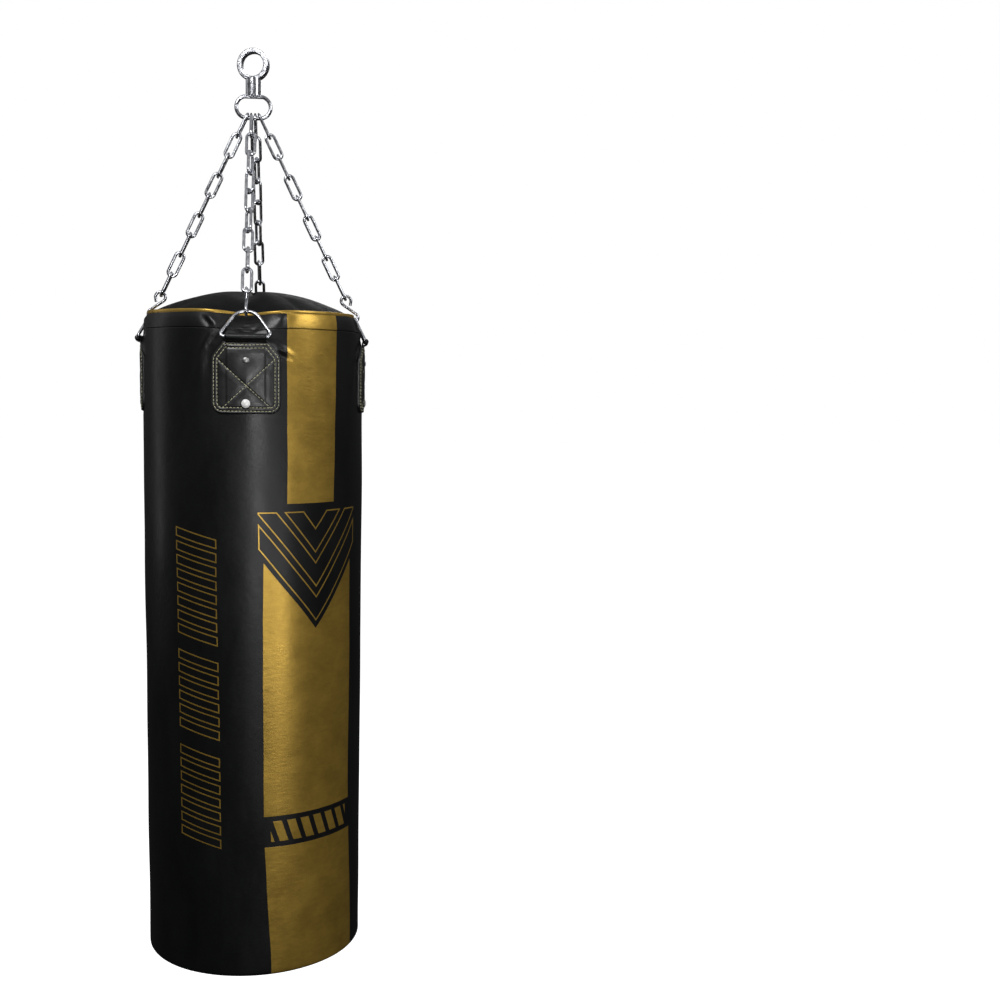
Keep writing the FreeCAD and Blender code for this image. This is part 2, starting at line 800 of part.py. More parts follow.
def make_strap_loop(side):
    """Webbing that goes round the D-ring's base bar, its two ends lying flat on the bag below."""
    name = f"strap_{side}"
    lying = Placement(Vector(), Rotation(Vector(0, 1, 0), 90))
    sleeve = cylinder(f"{name}_sleeve", strap_loop_radius, strap_width, lying)
    bore = cylinder(f"{name}_bore", dims.dring_wire_radius + dims.dring_clearance, strap_width, lying)
    for obj in (sleeve, bore):
        set_size(obj, "Placement.Base.x", -strap_width / 2)
        set_size(obj, "Placement.Base.y", -dring_base_radius)
        set_size(obj, "Placement.Base.z", -dims.dring_base_depth)
    inside = dims.bag_radius + dims.strap_clearance
    outside = inside + dims.strap_thickness
    wall = ring_wall(f"{name}_tail", inside, outside, -dims.strap_length, -dims.dring_base_depth)
    window = block(
        f"{name}_window",
        strap_width,
        dims.bag_radius,
        dims.strap_length,
        (-strap_width / 2, -1.5 * dims.bag_radius, -dims.strap_length),
    )
    tail = common(f"{name}_tail", wall, window)
    loop = cut(f"{name}_loop", fuse(f"{name}_whole", sleeve, tail), bore)
    holes = rivet_holes(name)
    strap = cut(f"{name}_finished", loop, holes)
    strap.Placement = turned_place(side)
    return strap


def rivet_holes(name):
    """The two radial holes that a patch's rivets pass through."""
    drills = []
    for which, depth in (("upper", dims.upper_rivet_depth), ("lower", dims.lower_rivet_depth)):
        facing = Placement(Vector(), Rotation(Vector(1, 0, 0), 90))
        drill = cylinder(f"{name}_{which}_hole", dims.rivet_shank_radius + dims.rivet_clearance, 0.0, facing)
        set_size(drill, "Height", 1.5 * dims.bag_radius)
        set_size(drill, "Placement.Base.z", -depth)
        drills.append(drill)
    return fuse(f"{name}_holes", *drills)


def make_patch(side):
    """A stitched leather patch over the strap's ends, shouldered at the top and rounded at the bottom."""
    name = f"patch_{side}"
    outline = doc.addObject("Sketcher::SketchObject", f"{name}_outline")
    outline.Placement = Placement(Vector(), Rotation(Vector(1, 0, 0), 90))
    half, neck, corner = dims.patch_width / 2, dims.patch_shoulder_width / 2, dims.patch_corner_radius
    top = -dims.patch_top
    foot = top - dims.patch_height
    points = [
        (-half, foot + corner),
        (-half + corner, foot),
        (half - corner, foot),
        (half, foot + corner),
        (half, top - dims.patch_shoulder_height),
        (neck, top),
        (-neck, top),
        (-half, top - dims.patch_shoulder_height),
    ]
    draw_outline(outline, points, arcs={0: corner, 2: corner})
    prism = doc.addObject("Part::Extrusion", f"{name}_prism")
    prism.Base = outline
    prism.DirMode = "Custom"
    prism.Dir = Vector(0, -1, 0)
    prism.Solid = True
    set_size(prism, "LengthFwd", 1.5 * dims.bag_radius)
    inside = dims.bag_radius + dims.patch_clearance
    wall = ring_wall(name, inside, patch_radius, foot - overcut, top + overcut)
    sheet_of = common(f"{name}_sheet", prism, wall)
    pocket_wall = ring_wall(
        f"{name}_pocket",
        dims.bag_radius - overcut,
        dims.bag_radius + dims.strap_clearance + dims.strap_thickness + dims.patch_clearance,
        -dims.strap_length - dims.patch_clearance,
        top + 2 * overcut,
    )
    wide = strap_width + 2 * dims.patch_clearance
    window = block(
        f"{name}_window",
        wide,
        dims.bag_radius,
        dims.bag_length,
        (-wide / 2, -1.5 * dims.bag_radius, -dims.bag_length / 2),
    )
    pocket = common(f"{name}_pocket", pocket_wall, window)
    hollow = cut(f"{name}_hollow", sheet_of, pocket)
    patch = cut(f"{name}_finished", hollow, rivet_holes(name))
    finished(patch, name, turned_place(side))


def make_rivets():
    """Two domed rivets through each patch, clenched inside the skin: one profile, turned out eight times."""
    head_seat = patch_radius + dims.rivet_clearance
    tail_seat = skin_inside - dims.rivet_clearance - dims.rivet_tail_height
    tail_face = skin_inside - dims.rivet_clearance
    body = new_body("rivet_body")
    ball = dome_arc(dims.rivet_head_radius, dims.rivet_head_height)
    outline = [
        (0.0, tail_seat),
        (dims.rivet_tail_radius, tail_seat),
        (dims.rivet_tail_radius, tail_face),
        (dims.rivet_shank_radius, tail_face),
        (dims.rivet_shank_radius, head_seat),
        (dims.rivet_head_radius, head_seat),
        (0.0, head_seat + dims.rivet_head_height),
    ]
    spin(body, "rivet", outline, arcs={5: ball})
    copies = []
    for side in sides:
        for depth in (dims.upper_rivet_depth, dims.lower_rivet_depth):
            copy = body.Shape.copy()
            facing = Rotation(up, side_turns[side]).multiply(Rotation(Vector(1, 0, 0), 90))
            copy.Placement = Placement(Vector(0, 0, rim_z - float(depth)), facing)
            copies.append(copy)
    group = doc.addObject("Part::Feature", "rivet_group")
    group.Shape = Part.makeCompound(copies)
    finished(group, "patch_rivets")


def make_straps():
    straps = [make_strap_loop(side) for side in sides]
    group = doc.addObject("Part::Compound", "strap_group")
    group.Links = straps
    finished(group, "strap_loops")


make_swivel_eye()
make_swivel_pin()
make_thrust_washer()
make_swivel_ring()
make_chain("front", front_turns)
make_chain("back", front_turns)
make_chain("left", left_turns)
make_chain("right", right_turns)
make_bag_skin()
make_base_panel()
make_filling()
make_top_cover()
make_rim_binding()
make_straps()
for side in sides:
    make_patch(side)
make_rivets()
doc.recompute()

print(f"bar height {float(bar_z):.3f}, rim height {rim_z:.3f}, bottom {rim_z - float(dims.bag_length):.3f}")
for obj in doc.Objects:
    if "Invalid" in obj.State or "Error" in obj.State:
        raise RuntimeError(f"{obj.Label} did not recompute: {obj.State}")
os.makedirs("parts", exist_ok=True)
for obj in nodes:
    if obj.Shape.isNull() or not obj.Shape.isValid():
        raise RuntimeError(f"{obj.Label} has no valid shape")
    obj.Shape.exportStep(f"parts/{obj.Label}.step")
print(len(nodes), "nodes written")
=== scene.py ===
import math

import bmesh
import bpy
import numpy as np
from mathutils import Matrix, Vector, noise


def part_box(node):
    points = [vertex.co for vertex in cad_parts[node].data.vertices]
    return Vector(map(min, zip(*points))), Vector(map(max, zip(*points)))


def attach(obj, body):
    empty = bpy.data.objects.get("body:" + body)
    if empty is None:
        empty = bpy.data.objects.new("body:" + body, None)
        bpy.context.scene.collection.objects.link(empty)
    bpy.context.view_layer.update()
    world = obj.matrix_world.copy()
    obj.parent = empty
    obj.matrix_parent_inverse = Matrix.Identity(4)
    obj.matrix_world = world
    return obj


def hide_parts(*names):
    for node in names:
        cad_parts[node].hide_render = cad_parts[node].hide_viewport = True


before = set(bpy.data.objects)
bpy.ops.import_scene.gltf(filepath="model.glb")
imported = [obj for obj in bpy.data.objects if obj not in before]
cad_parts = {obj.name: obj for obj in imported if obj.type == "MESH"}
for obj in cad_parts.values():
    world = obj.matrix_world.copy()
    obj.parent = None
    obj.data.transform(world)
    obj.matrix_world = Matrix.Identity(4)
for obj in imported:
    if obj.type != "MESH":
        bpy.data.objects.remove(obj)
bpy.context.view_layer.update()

scene = bpy.context.scene
scene.view_settings.view_transform = "Standard"
print("frame loaded:", len(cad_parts), "parts")

# where things are, read from the fixed frame
bindingLow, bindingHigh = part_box("rim_binding")
patchLow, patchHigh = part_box("patch_front")
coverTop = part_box("top_cover")[1].z
rimZ = (bindingLow.z + bindingHigh.z) / 2
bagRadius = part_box("bag_skin")[1].x
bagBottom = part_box("base_panel")[0].z
bagLength = rimZ - bagBottom
patchTop = rimZ - patchHigh.z
patchSize = (patchHigh.x - patchLow.x, patchHigh.z - patchLow.z)
sideNames = {"front": 0.0, "right": 90.0, "back": 180.0, "left": -90.0}


# node building
class Wire:
    # one value in a node tree: operators add Math nodes, node() adds any other
    def __init__(self, tree, socket=None):
        self.tree, self.socket = tree, socket

    def node(self, kind, settings=None, values=None, out=0):
        made = self.tree.nodes.new(kind)
        for name, value in (settings or {}).items():
            setattr(made, name, value)
        for name, value in (values or {}).items():
            if isinstance(value, Wire):
                self.tree.links.new(value.socket, made.inputs[name])
            else:
                made.inputs[name].default_value = value
        return Wire(self.tree, made.outputs[out])

    def maths(self, operation, *numbers):
        return self.node("ShaderNodeMath", {"operation": operation}, dict(enumerate(numbers)))

    def __add__(self, other):
        return self.maths("ADD", self, other)

    def __radd__(self, other):
        return self.maths("ADD", other, self)

    def __sub__(self, other):
        return self.maths("SUBTRACT", self, other)

    def __rsub__(self, other):
        return self.maths("SUBTRACT", other, self)

    def __mul__(self, other):
        return self.maths("MULTIPLY", self, other)

    def __rmul__(self, other):
        return self.maths("MULTIPLY", other, self)

    def __truediv__(self, other):
        return self.maths("DIVIDE", self, other)

    def __abs__(self):
        return self.maths("ABSOLUTE", self)

    def fract(self):
        return self.maths("FRACT", self)

    def least(self, other):
        return self.maths("MINIMUM", self, other)

    def most(self, other):
        return self.maths("MAXIMUM", self, other)

    def below(self, edge, soft=0.0004):
        # 1 where the value is under the edge, with a narrow soft step
        return self.ease(edge - soft, edge + soft, 1.0, 0.0)

    def ease(self, start, end, first=0.0, last=1.0):
        step = {"Value": self, "From Min": start, "From Max": end, "To Min": first, "To Max": last}
        return self.node("ShaderNodeMapRange", {"interpolation_type": "SMOOTHSTEP"}, step)

    def mix(self, first, last):
        # a colour between two, by this value
        mixed = self.tree.nodes.new("ShaderNodeMix")
        mixed.data_type = "RGBA"
        self.tree.links.new(self.socket, mixed.inputs["Factor"])
        for slot, colour in ((6, first), (7, last)):
            if isinstance(colour, Wire):
                self.tree.links.new(colour.socket, mixed.inputs[slot])
            else:
                mixed.inputs[slot].default_value = (*colour, 1.0)
        return Wire(self.tree, mixed.outputs[2])


def newMaterial(name):
    made = bpy.data.materials.new(name)
    made.use_nodes = True
    tree = made.node_tree
    shader = tree.nodes["Principled BSDF"]
    return made, Wire(tree), shader


def feed(wire, shader, name, value):
    if isinstance(value, Wire):
        wire.tree.links.new(value.socket, shader.inputs[name])
    else:
        shader.inputs[name].default_value = value


def grainNoise(wire, place, size, detail=3.0, rough=0.5):
    return wire.node("ShaderNodeTexNoise", {"noise_dimensions": "3D"},
                     {"Vector": place, "Scale": 1.0 / size, "Detail": detail, "Roughness": rough})


def stretched(wire, place, scale):
    return wire.node("ShaderNodeMapping", {"vector_type": "POINT"}, {"Vector": place, "Scale": scale})


def bumped(wire, height, distance, strength=1.0, under=None):
    values = {"Height": height, "Distance": distance, "Strength": strength}
    if under is not None:
        values["Normal"] = under
    return wire.node("ShaderNodeBump", {}, values)


# finishes
leather = {
    "dark": (0.0026, 0.0027, 0.0032),
    "light": (0.0062, 0.0065, 0.0070),
    "roughness": (0.29, 0.43),
    "grainSize": 0.0011,
    "grainDepth": 0.00007,
    "weavePitch": 0.0011,
}
gold = {
    "deep": (0.400, 0.250, 0.046),
    "bright": (0.600, 0.382, 0.070),
    "roughness": (0.30, 0.42),
    "metallic": 0.72,
}


def leatherLook(wire, place, flat=None):
    # black coated cloth: pebble grain, faint sideways weave, soft scuffs
    pebble = wire.node("ShaderNodeTexVoronoi", {"feature": "SMOOTH_F1"},
                       {"Vector": place, "Scale": 1.0 / leather["grainSize"], "Smoothness": 0.6})
    along = (0.10, 0.10, 1.0) if flat is None else (0.12, 1.0, 1.0)
    threads = grainNoise(wire, stretched(wire, flat or place, along), leather["weavePitch"], 2.0)
    scuffs = grainNoise(wire, stretched(wire, place, (1.0, 1.0, 0.35)), 0.055, 4.0, 0.6)
    blotch = grainNoise(wire, place, 0.014, 3.0)
    colour = (scuffs * 0.6 + blotch * 0.4).mix(leather["dark"], leather["light"])
    low, high = leather["roughness"]
    rough = (scuffs * 0.65 + threads * 0.35).ease(0.3, 0.7, low, high)
    normal = bumped(wire, pebble, leather["grainDepth"], 0.55)
    normal = bumped(wire, threads, 0.00010, 0.75, normal)
    normal = bumped(wire, blotch, 0.0006, 0.35, normal)
    return colour, rough, normal


def makeLeather(name, specular=0.42, duller=0.0):
    made, wire, shader = newMaterial(name)
    place = wire.node("ShaderNodeTexCoord", {}, {}, "Object")
    colour, rough, normal = leatherLook(wire, place)
    feed(wire, shader, "Base Color", colour)
    feed(wire, shader, "Roughness", rough + duller)
    feed(wire, shader, "Normal", normal)
    shader.inputs["Specular IOR Level"].default_value = specular
    return made


def goldLook(wire, place):
    # metallic print: mottled film with fine creases
    mottle = grainNoise(wire, place, 0.045, 4.0, 0.55)
    crease = grainNoise(wire, stretched(wire, place, (1.0, 1.0, 2.6)), 0.016, 5.0, 0.62)
    speck = grainNoise(wire, place, 0.0016, 2.0)
    colour = (mottle * 0.5 + crease * 0.3 + speck * 0.2).ease(0.25, 0.75).mix(gold["deep"], gold["bright"])
    low, high = gold["roughness"]
    rough = (mottle * 0.5 + speck * 0.5).ease(0.3, 0.7, low, high)
    normal = bumped(wire, crease, 0.0010, 0.30)
    normal = bumped(wire, speck, 0.00012, 0.45, normal)
    return colour, rough, normal


def makeGold(name):
    made, wire, shader = newMaterial(name)
    place = wire.node("ShaderNodeTexCoord", {}, {}, "Object")
    colour, rough, normal = goldLook(wire, place)
    feed(wire, shader, "Base Color", colour)
    feed(wire, shader, "Roughness", rough)
    feed(wire, shader, "Normal", normal)
    shader.inputs["Metallic"].default_value = gold["metallic"]
    return made


steel = {
    "dull": (0.40, 0.41, 0.45),
    "clean": (0.74, 0.75, 0.79),
    "roughness": (0.14, 0.30),
}


def makeSteel(name, dull=steel["dull"], clean=steel["clean"], roughness=steel["roughness"], metallic=1.0):
    # bright zinc plate: cloudy patches, pits and fine drawing marks
    made, wire, shader = newMaterial(name)
    place = wire.node("ShaderNodeTexCoord", {}, {}, "Object")
    cloud = grainNoise(wire, place, 0.009, 4.0, 0.6)
    pits = grainNoise(wire, place, 0.0011, 3.0)
    feed(wire, shader, "Base Color", (cloud * 0.75 + pits * 0.25).ease(0.34, 0.62).mix(dull, clean))
    feed(wire, shader, "Roughness", (cloud * 0.5 + pits * 0.5).ease(0.3, 0.7, *roughness))
    normal = bumped(wire, pits, 0.00008, 0.6)
    feed(wire, shader, "Normal", bumped(wire, cloud, 0.0005, 0.35, normal))
    shader.inputs["Metallic"].default_value = metallic
    return made


def makeThread(name, dark, light):
    # twisted thread: fine turns across the stitch
    made, wire, shader = newMaterial(name)
    place = wire.node("ShaderNodeTexCoord", {}, {}, "Object")
    fuzz = grainNoise(wire, place, 0.0007, 2.0)
    feed(wire, shader, "Base Color", fuzz.ease(0.3, 0.7).mix(dark, light))
    feed(wire, shader, "Roughness", fuzz.ease(0.3, 0.7, 0.55, 0.8))
    feed(wire, shader, "Normal", bumped(wire, fuzz, 0.0002, 0.6))
    shader.inputs["Sheen Weight"].default_value = 0.25
    return made


# the printed shapes on the bag, in metres: across from the front patch, up from the rim
printed = {
    "stripe": {"left": 0.0712, "right": 0.1745, "foot": -0.331, "narrow": 0.006},
    "panel": {"left": 0.0283, "right": 0.2195, "tip": 0.1264, "tipUp": -0.5553, "rise": 1.24,
              "slant": 0.013},
    "chevrons": {"across": 0.107, "bands": [(0.013, 0.058), (0.074, 0.119), (0.135, 0.180)],
                 "top": -0.345, "line": 0.0011},
    "belt": {"top": -0.8875, "foot": -0.9435, "inset": 0.0095, "pitch": 0.0262, "bar": 0.62,
             "lean": 0.32},
    "column": {"left": -0.131, "right": -0.050, "lean": -0.014, "pitch": 0.0245, "line": 0.0010,
               "runs": [(-0.5650, 8), (-0.7330, 6), (-0.9285, 7)]},
    "seam": -0.0285,
}


def makeSkinLook():
    made, wire, shader = newMaterial("blackLeatherWithPrint")
    place = wire.node("ShaderNodeTexCoord", {}, {}, "Object")
    around = wire.node("ShaderNodeUVMap", {"uv_map": "flat"})
    cut = wire.tree.nodes.new("ShaderNodeSeparateXYZ")
    wire.tree.links.new(around.socket, cut.inputs[0])
    across = (Wire(wire.tree, cut.outputs[0]) - 0.5) * (2 * math.pi * bagRadius)
    up = (Wire(wire.tree, cut.outputs[1]) - 1.0) * bagLength
    flat = wire.node("ShaderNodeCombineXYZ", {}, {"X": across, "Y": up})

    wobble = (grainNoise(wire, flat, 0.16, 1.0) - 0.5) * 0.006
    x = across + wobble
    stripe, panel, belt = printed["stripe"], printed["panel"], printed["belt"]
    slanted = x - stripe["right"] - up * (stripe["narrow"] / -stripe["foot"])
    upper = (stripe["left"] - x).most(slanted).most(stripe["foot"] - up)

    lean = up.ease(-0.88, -1.18) * panel["slant"]
    px = x - lean
    side = abs(px - (panel["left"] + panel["right"]) / 2) - (panel["right"] - panel["left"]) / 2
    vee = abs(px - panel["tip"]) * panel["rise"] + panel["tipUp"]
    lower = side.most(up - vee)
    strap = abs(up - (belt["top"] + belt["foot"]) / 2) - (belt["top"] - belt["foot"]) / 2
    lower = lower.most(strap * -1.0)

    # slanted bars inside the dark belt
    cell = ((px - panel["left"] + (up - belt["foot"]) * belt["lean"]) / belt["pitch"]).fract()
    bars = (abs(cell - 0.5) - belt["bar"] / 2) * belt["pitch"]
    bars = bars.most(strap + belt["inset"]).most(side + 0.012)

    # three outlined chevrons standing in the notch
    chevrons = printed["chevrons"]
    rise = up - vee
    outline = None
    for low, high in chevrons["bands"]:
        band = (abs(rise - (low + high) / 2) - (high - low) / 2) * 0.63
        band = band.most(abs(px - panel["tip"]) - chevrons["across"]).most(up - chevrons["top"])
        edge = abs(band + chevrons["line"]) - chevrons["line"]
        outline = edge if outline is None else outline.least(edge)

    # an upright column of outlined slanted bars
    column = printed["column"]
    cx = x - (up + 0.65) * column["lean"]
    for foot, count in column["runs"]:
        top = foot + count * column["pitch"]
        sloped = up + (cx - column["left"]) * 0.25
        step = ((sloped - foot) / column["pitch"]).fract()
        bar = (abs(step - 0.5) - 0.34) * column["pitch"]
        bar = bar.most(abs(sloped - (foot + top) / 2) - (top - foot) / 2)
        middle, half = (column["left"] + column["right"]) / 2, (column["right"] - column["left"]) / 2
        bar = bar.most(abs(cx - middle) - half)
        outline = outline.least(abs(bar + column["line"]) - column["line"])

    ink = upper.below(0.0).most(lower.below(0.0)).most(bars.below(0.0)).most(outline.below(0.0))
    # a narrow band at the hem's lower edge: it makes the groove's bump, and below it is darkened as painted
    # shade in that groove
    seam = abs(up - printed["seam"]).below(0.0008, 0.0007)

    blackColour, blackRough, blackNormal = leatherLook(wire, place, flat)
    goldColour, goldRough, goldNormal = goldLook(wire, place)
    colour = ink.mix(blackColour, goldColour)
    # painted shade in the seam's groove: the band is darkened towards near black
    feed(wire, shader, "Base Color", (seam * 0.75).mix(colour, (0.004, 0.003, 0.002)))
    feed(wire, shader, "Roughness", blackRough + ink * (goldRough - blackRough))
    feed(wire, shader, "Metallic", ink * gold["metallic"])
    both = wire.node("ShaderNodeMix", {"data_type": "VECTOR"}, {"Factor": ink}, 1)
    mixer = both.socket.node
    wire.tree.links.new(blackNormal.socket, mixer.inputs[4])
    wire.tree.links.new(goldNormal.socket, mixer.inputs[5])
    normal = bumped(wire, ink, 0.00012, 0.7, both)
    normal = bumped(wire, 1.0 - seam, 0.0008, 0.8, normal)
    feed(wire, shader, "Normal", normal)
    shader.inputs["Specular IOR Level"].default_value = 0.42
    return made


blackLeather = makeLeather("blackLeather")
patchLeather = makeLeather("patchLeather", 0.7, 0.04)
coverLeather = makeLeather("coverLeather", 0.10, 0.32)
skinLook = makeSkinLook()
goldTape = makeGold("goldTape")
platedSteel = makeSteel("platedSteel")
dullRivet = makeSteel("dullRivet", (0.22, 0.22, 0.22), (0.42, 0.42, 0.41), (0.35, 0.55))
# the lower rivet caps: their near-white, barely metallic colour is a painted highlight on steel
paintedHighlightCap = makeSteel("paintedHighlightCap", (0.88, 0.88, 0.87), (0.97, 0.97, 0.96), (0.30, 0.42), 0.15)
# the eyelets round the lower caps: real rings, but their near-black colour is painted shade round each cap
eyeletPaintedShade = makeSteel("eyeletPaintedShade", (0.010, 0.010, 0.010), (0.030, 0.030, 0.030), (0.35, 0.5))
paleThread = makeThread("paleThread", (0.34, 0.33, 0.19), (0.66, 0.64, 0.42))
blackThread = makeThread("blackThread", (0.010, 0.010, 0.010), (0.030, 0.030, 0.032))
brownThread = makeThread("brownThread", (0.13, 0.075, 0.012), (0.25, 0.15, 0.03))
print("finishes made")


# shapes
def showMesh(name, points, faces, look, edges=()):
    mesh = bpy.data.meshes.new(name)
    mesh.from_pydata([tuple(map(float, p)) for p in points], list(edges), faces)
    mesh.update()
    piece = bpy.data.objects.new(name, mesh)
    scene.collection.objects.link(piece)
    if look:
        mesh.materials.append(look)
    if faces:
        mesh.shade_smooth()
    return piece


def gridFaces(rows, columns, closed=False):
    # rows go down and columns go round, so faces look outwards
    faces = []
    for i in range(rows - 1):
        for j in range(columns if closed else columns - 1):
            k = (j + 1) % columns
            here, below = i * columns, (i + 1) * columns
            faces.append((here + j, below + j, below + k, here + k))
    return faces


def borderOf(rows, columns):
    # the points round the edge of a grid, in order
    ring = [(0, j) for j in range(columns)] + [(i, columns - 1) for i in range(1, rows)]
    ring += [(rows - 1, j) for j in range(columns - 2, -1, -1)]
    ring += [(i, 0) for i in range(rows - 2, 0, -1)]
    return [i * columns + j for i, j in ring]


def outwards(piece):
    work = bmesh.new()
    work.from_mesh(piece.data)
    bmesh.ops.remove_doubles(work, verts=work.verts, dist=1e-6)
    bmesh.ops.recalc_face_normals(work, faces=work.faces)
    work.to_mesh(piece.data)
    work.free()
    piece.data.shade_smooth()


bag = {
    "pulledRim": 0.1665,       # radius of the rim behind each D-ring
    "bulgedRim": 0.1965,       # and between them
    "pullWidth": 12.5,         # degrees to each side that a D-ring draws in
    "rimDip": 0.0065,
    "taper": (0.056, 0.030),   # depth at which the wall is full, at a D-ring and between them
    "footSlim": 0.003,
    "footRound": 0.007,
    "footRow": 0.186,
    "dent": 0.0016,
    "hem": 0.0007,
    "hemDepth": 0.0279,
    "columns": 240,
    # depths of the rows: first, end, step. They are close at the rim, hem and creases.
    "rows": [(0, 0.0265, 0.0024), (0.0275, 0.0295, 0.0008), (0.0310, 0.1000, 0.0029),
             (0.1030, 0.2200, 0.0040)],
    "plainFrom": 0.2240,
    "plainRows": 150,
}

# creases in the cloth near each D-ring, in mm from its middle and the rim, turned in degrees
creases = [
    {"at": (-60, 38), "turn": 57, "long": 27, "wide": 5.0, "high": 5.2},
    {"at": (-60, 14), "turn": -50, "long": 13, "wide": 4.6, "high": 3.8},
    {"at": (-60, 65), "turn": 32, "long": 20, "wide": 5.4, "high": 4.2},
    {"at": (54, 60), "turn": -24, "long": 16, "wide": 5.0, "high": 4.0},
    {"at": (62, 10), "turn": 70, "long": 14, "wide": 6.5, "high": 2.8},
    {"at": (76, 86), "turn": -82, "long": 36, "wide": 8.0, "high": 1.8},
    {"at": (-84, 96), "turn": 76, "long": 36, "wide": 9.0, "high": 1.8},
]
sags = [
    {"down": 37, "bow": 10, "half": 25, "wide": 3.6, "high": 2.6},
    {"down": 27, "bow": 7, "half": 13, "wide": 3.0, "high": 1.6},
    {"down": 18, "bow": 4, "half": 16, "wide": 3.4, "high": 1.2},
]


def nearest(turn):
    # degrees from the nearest D-ring, with its sign, and which one it is
    side = np.round(turn / 90.0)
    return turn - 90.0 * side, side.astype(int) % 4


def rimShape(turn):
    away, _ = nearest(turn)
    pull = np.exp(-((away / bag["pullWidth"]) ** 2))
    radius = bag["bulgedRim"] + (bag["pulledRim"] - bag["bulgedRim"]) * pull
    height = rimZ + 0.0015 - bag["rimDip"] * np.exp(-((away / (1.15 * bag["pullWidth"])) ** 2))
    return radius, height, pull


def bell(value, width):
    return np.exp(-((value / width) ** 2))


def creaseHeight(turn, down):
    away, side = nearest(turn)
    across = np.radians(away) * bagRadius * 1000
    depth = down * 1000
    total = np.zeros_like(depth)
    for k, crease in enumerate(creases):
        flip = np.where((side + k) % 3 == 2, -1.0, 1.0)
        size = 1.0 + 0.22 * np.sin(2.4 * side + 1.7 * k)
        a = math.radians(crease["turn"])
        x, y = across * flip - crease["at"][0], depth - crease["at"][1]
        along = x * math.cos(a) - y * math.sin(a)
        over = x * math.sin(a) + y * math.cos(a)
        ridge = bell(over, crease["wide"]) - 0.6 * bell(over - 1.7 * crease["wide"], crease["wide"])
        total += size * crease["high"] * np.exp(-((along / crease["long"]) ** 2)) * ridge
    for sag in sags:
        line = sag["down"] - sag["bow"] * (across / sag["half"]) ** 2
        over = depth - line
        ridge = bell(over, sag["wide"]) - 0.7 * bell(over + 1.6 * sag["wide"], sag["wide"])
        total += sag["high"] * np.exp(-((across / sag["half"]) ** 4)) * ridge
    return total / 1000


def ripple(turn, down, size, seed):
    a = np.radians(turn)
    places = np.stack([np.sin(a) * bagRadius, -np.cos(a) * bagRadius, -down], axis=-1)
    places = places.reshape(-1, 3) / size
    values = [noise.noise(Vector(p) + Vector((seed, 0, 0))) for p in places]
    return np.array(values).reshape(np.shape(down))


def wallRadius(turn, down):
    # radius of the bag's wall, without creases and dents
    radius, _, pull = rimShape(turn)
    deep = bag["taper"][1] + (bag["taper"][0] - bag["taper"][1]) * pull
    share = np.clip(down / deep, 0, 1)
    full = bagRadius - bag["footSlim"] * np.clip((down - 0.45) / 0.7, 0, 1)
    shape = np.sin(share * math.pi / 2) * (1 - pull) + (1.25 * share - 0.25 * share ** 3) * pull
    return radius + (full - radius) * np.clip(shape, 0, 1)


def onWall(turn, radius, down):
    a = np.radians(turn)
    _, height, _ = rimShape(turn)
    drop = (height - rimZ) * np.clip(1 - down / 0.09, 0, 1)
    return np.stack([np.sin(a) * radius, -np.cos(a) * radius, rimZ + drop - down], axis=-1)


def makeSkin():
    count = bag["columns"]
    down = np.concatenate([np.arange(*run) for run in bag["rows"]]
                          + [np.linspace(bag["plainFrom"], bagLength - bag["footRound"], bag["plainRows"])])
    turns = -180 + 360 * np.arange(count) / count
    turn, depth = np.meshgrid(turns, down)
    radius = wallRadius(turn, depth)
    soft = np.clip(depth / 0.010, 0, 1) * np.clip((bagLength - depth) / 0.05, 0, 1)
    away, _ = nearest(turn)
    underPatch = np.clip(1.35 - (np.abs(np.radians(away)) * bagRadius / (patchSize[0] / 2)) ** 6, 0, 1)
    underPatch = underPatch * np.clip((depth - patchTop) / 0.006, 0, 1)
    underPatch = underPatch * np.clip((patchTop + patchSize[1] + 0.008 - depth) / 0.006, 0, 1)
    relief = creaseHeight(turn, depth)
    dents = ripple(turn, depth, 0.19, 3.1) + 0.5 * ripple(turn, depth * 0.45, 0.07, 8.4)
    relief += bag["dent"] * dents
    radius = radius + relief * soft * (1 - underPatch)
    hem = (1 - np.clip((depth - bag["hemDepth"]) / 0.0008, 0, 1)) * np.clip(depth / 0.003, 0, 1)
    radius = radius + bag["hem"] * hem
    points = onWall(turn, radius, depth)

    # the foot turns in under the base panel
    foot = []
    full = wallRadius(turns, np.full(count, bagLength - bag["footRound"]))
    for a in np.linspace(0, 90, 9)[1:]:
        r = full - bag["footRound"] * (1 - math.cos(math.radians(a)))
        z = np.full(count, bagLength - bag["footRound"] * (1 - math.sin(math.radians(a))))
        foot.append((r, z))
    foot.append((np.full(count, bag["footRow"]), np.full(count, bagLength - 0.0005)))
    rows = [points] + [onWall(turns, r, z)[None] for r, z in foot]
    # and the head folds in under the cover
    radius, _, _ = rimShape(turns)
    head = [onWall(turns, radius - inwards, np.full(count, deep))[None]
            for inwards, deep in ((0.006, 0.012), (0.0035, 0.0))]
    points = np.concatenate(head + rows)
    total = points.shape[0]
    faces = gridFaces(total, count, closed=True)
    piece = showMesh("bagSkin", points.reshape(-1, 3), faces, skinLook)
    depths = np.concatenate([[0, 0], down, [float(np.mean(z)) for _, z in foot]])
    chart = piece.data.uv_layers.new(name="flat")
    values = np.zeros((len(piece.data.loops), 2))
    n = 0
    for i in range(total - 1):
        for j in range(count):
            for row, column in ((i, j), (i + 1, j), (i + 1, j + 1), (i, j + 1)):
                values[n] = (column / count, 1 - depths[row] / bagLength)
                n += 1
    chart.data.foreach_set("uv", values.ravel())
    return piece


skin = makeSkin()
print("skin made")


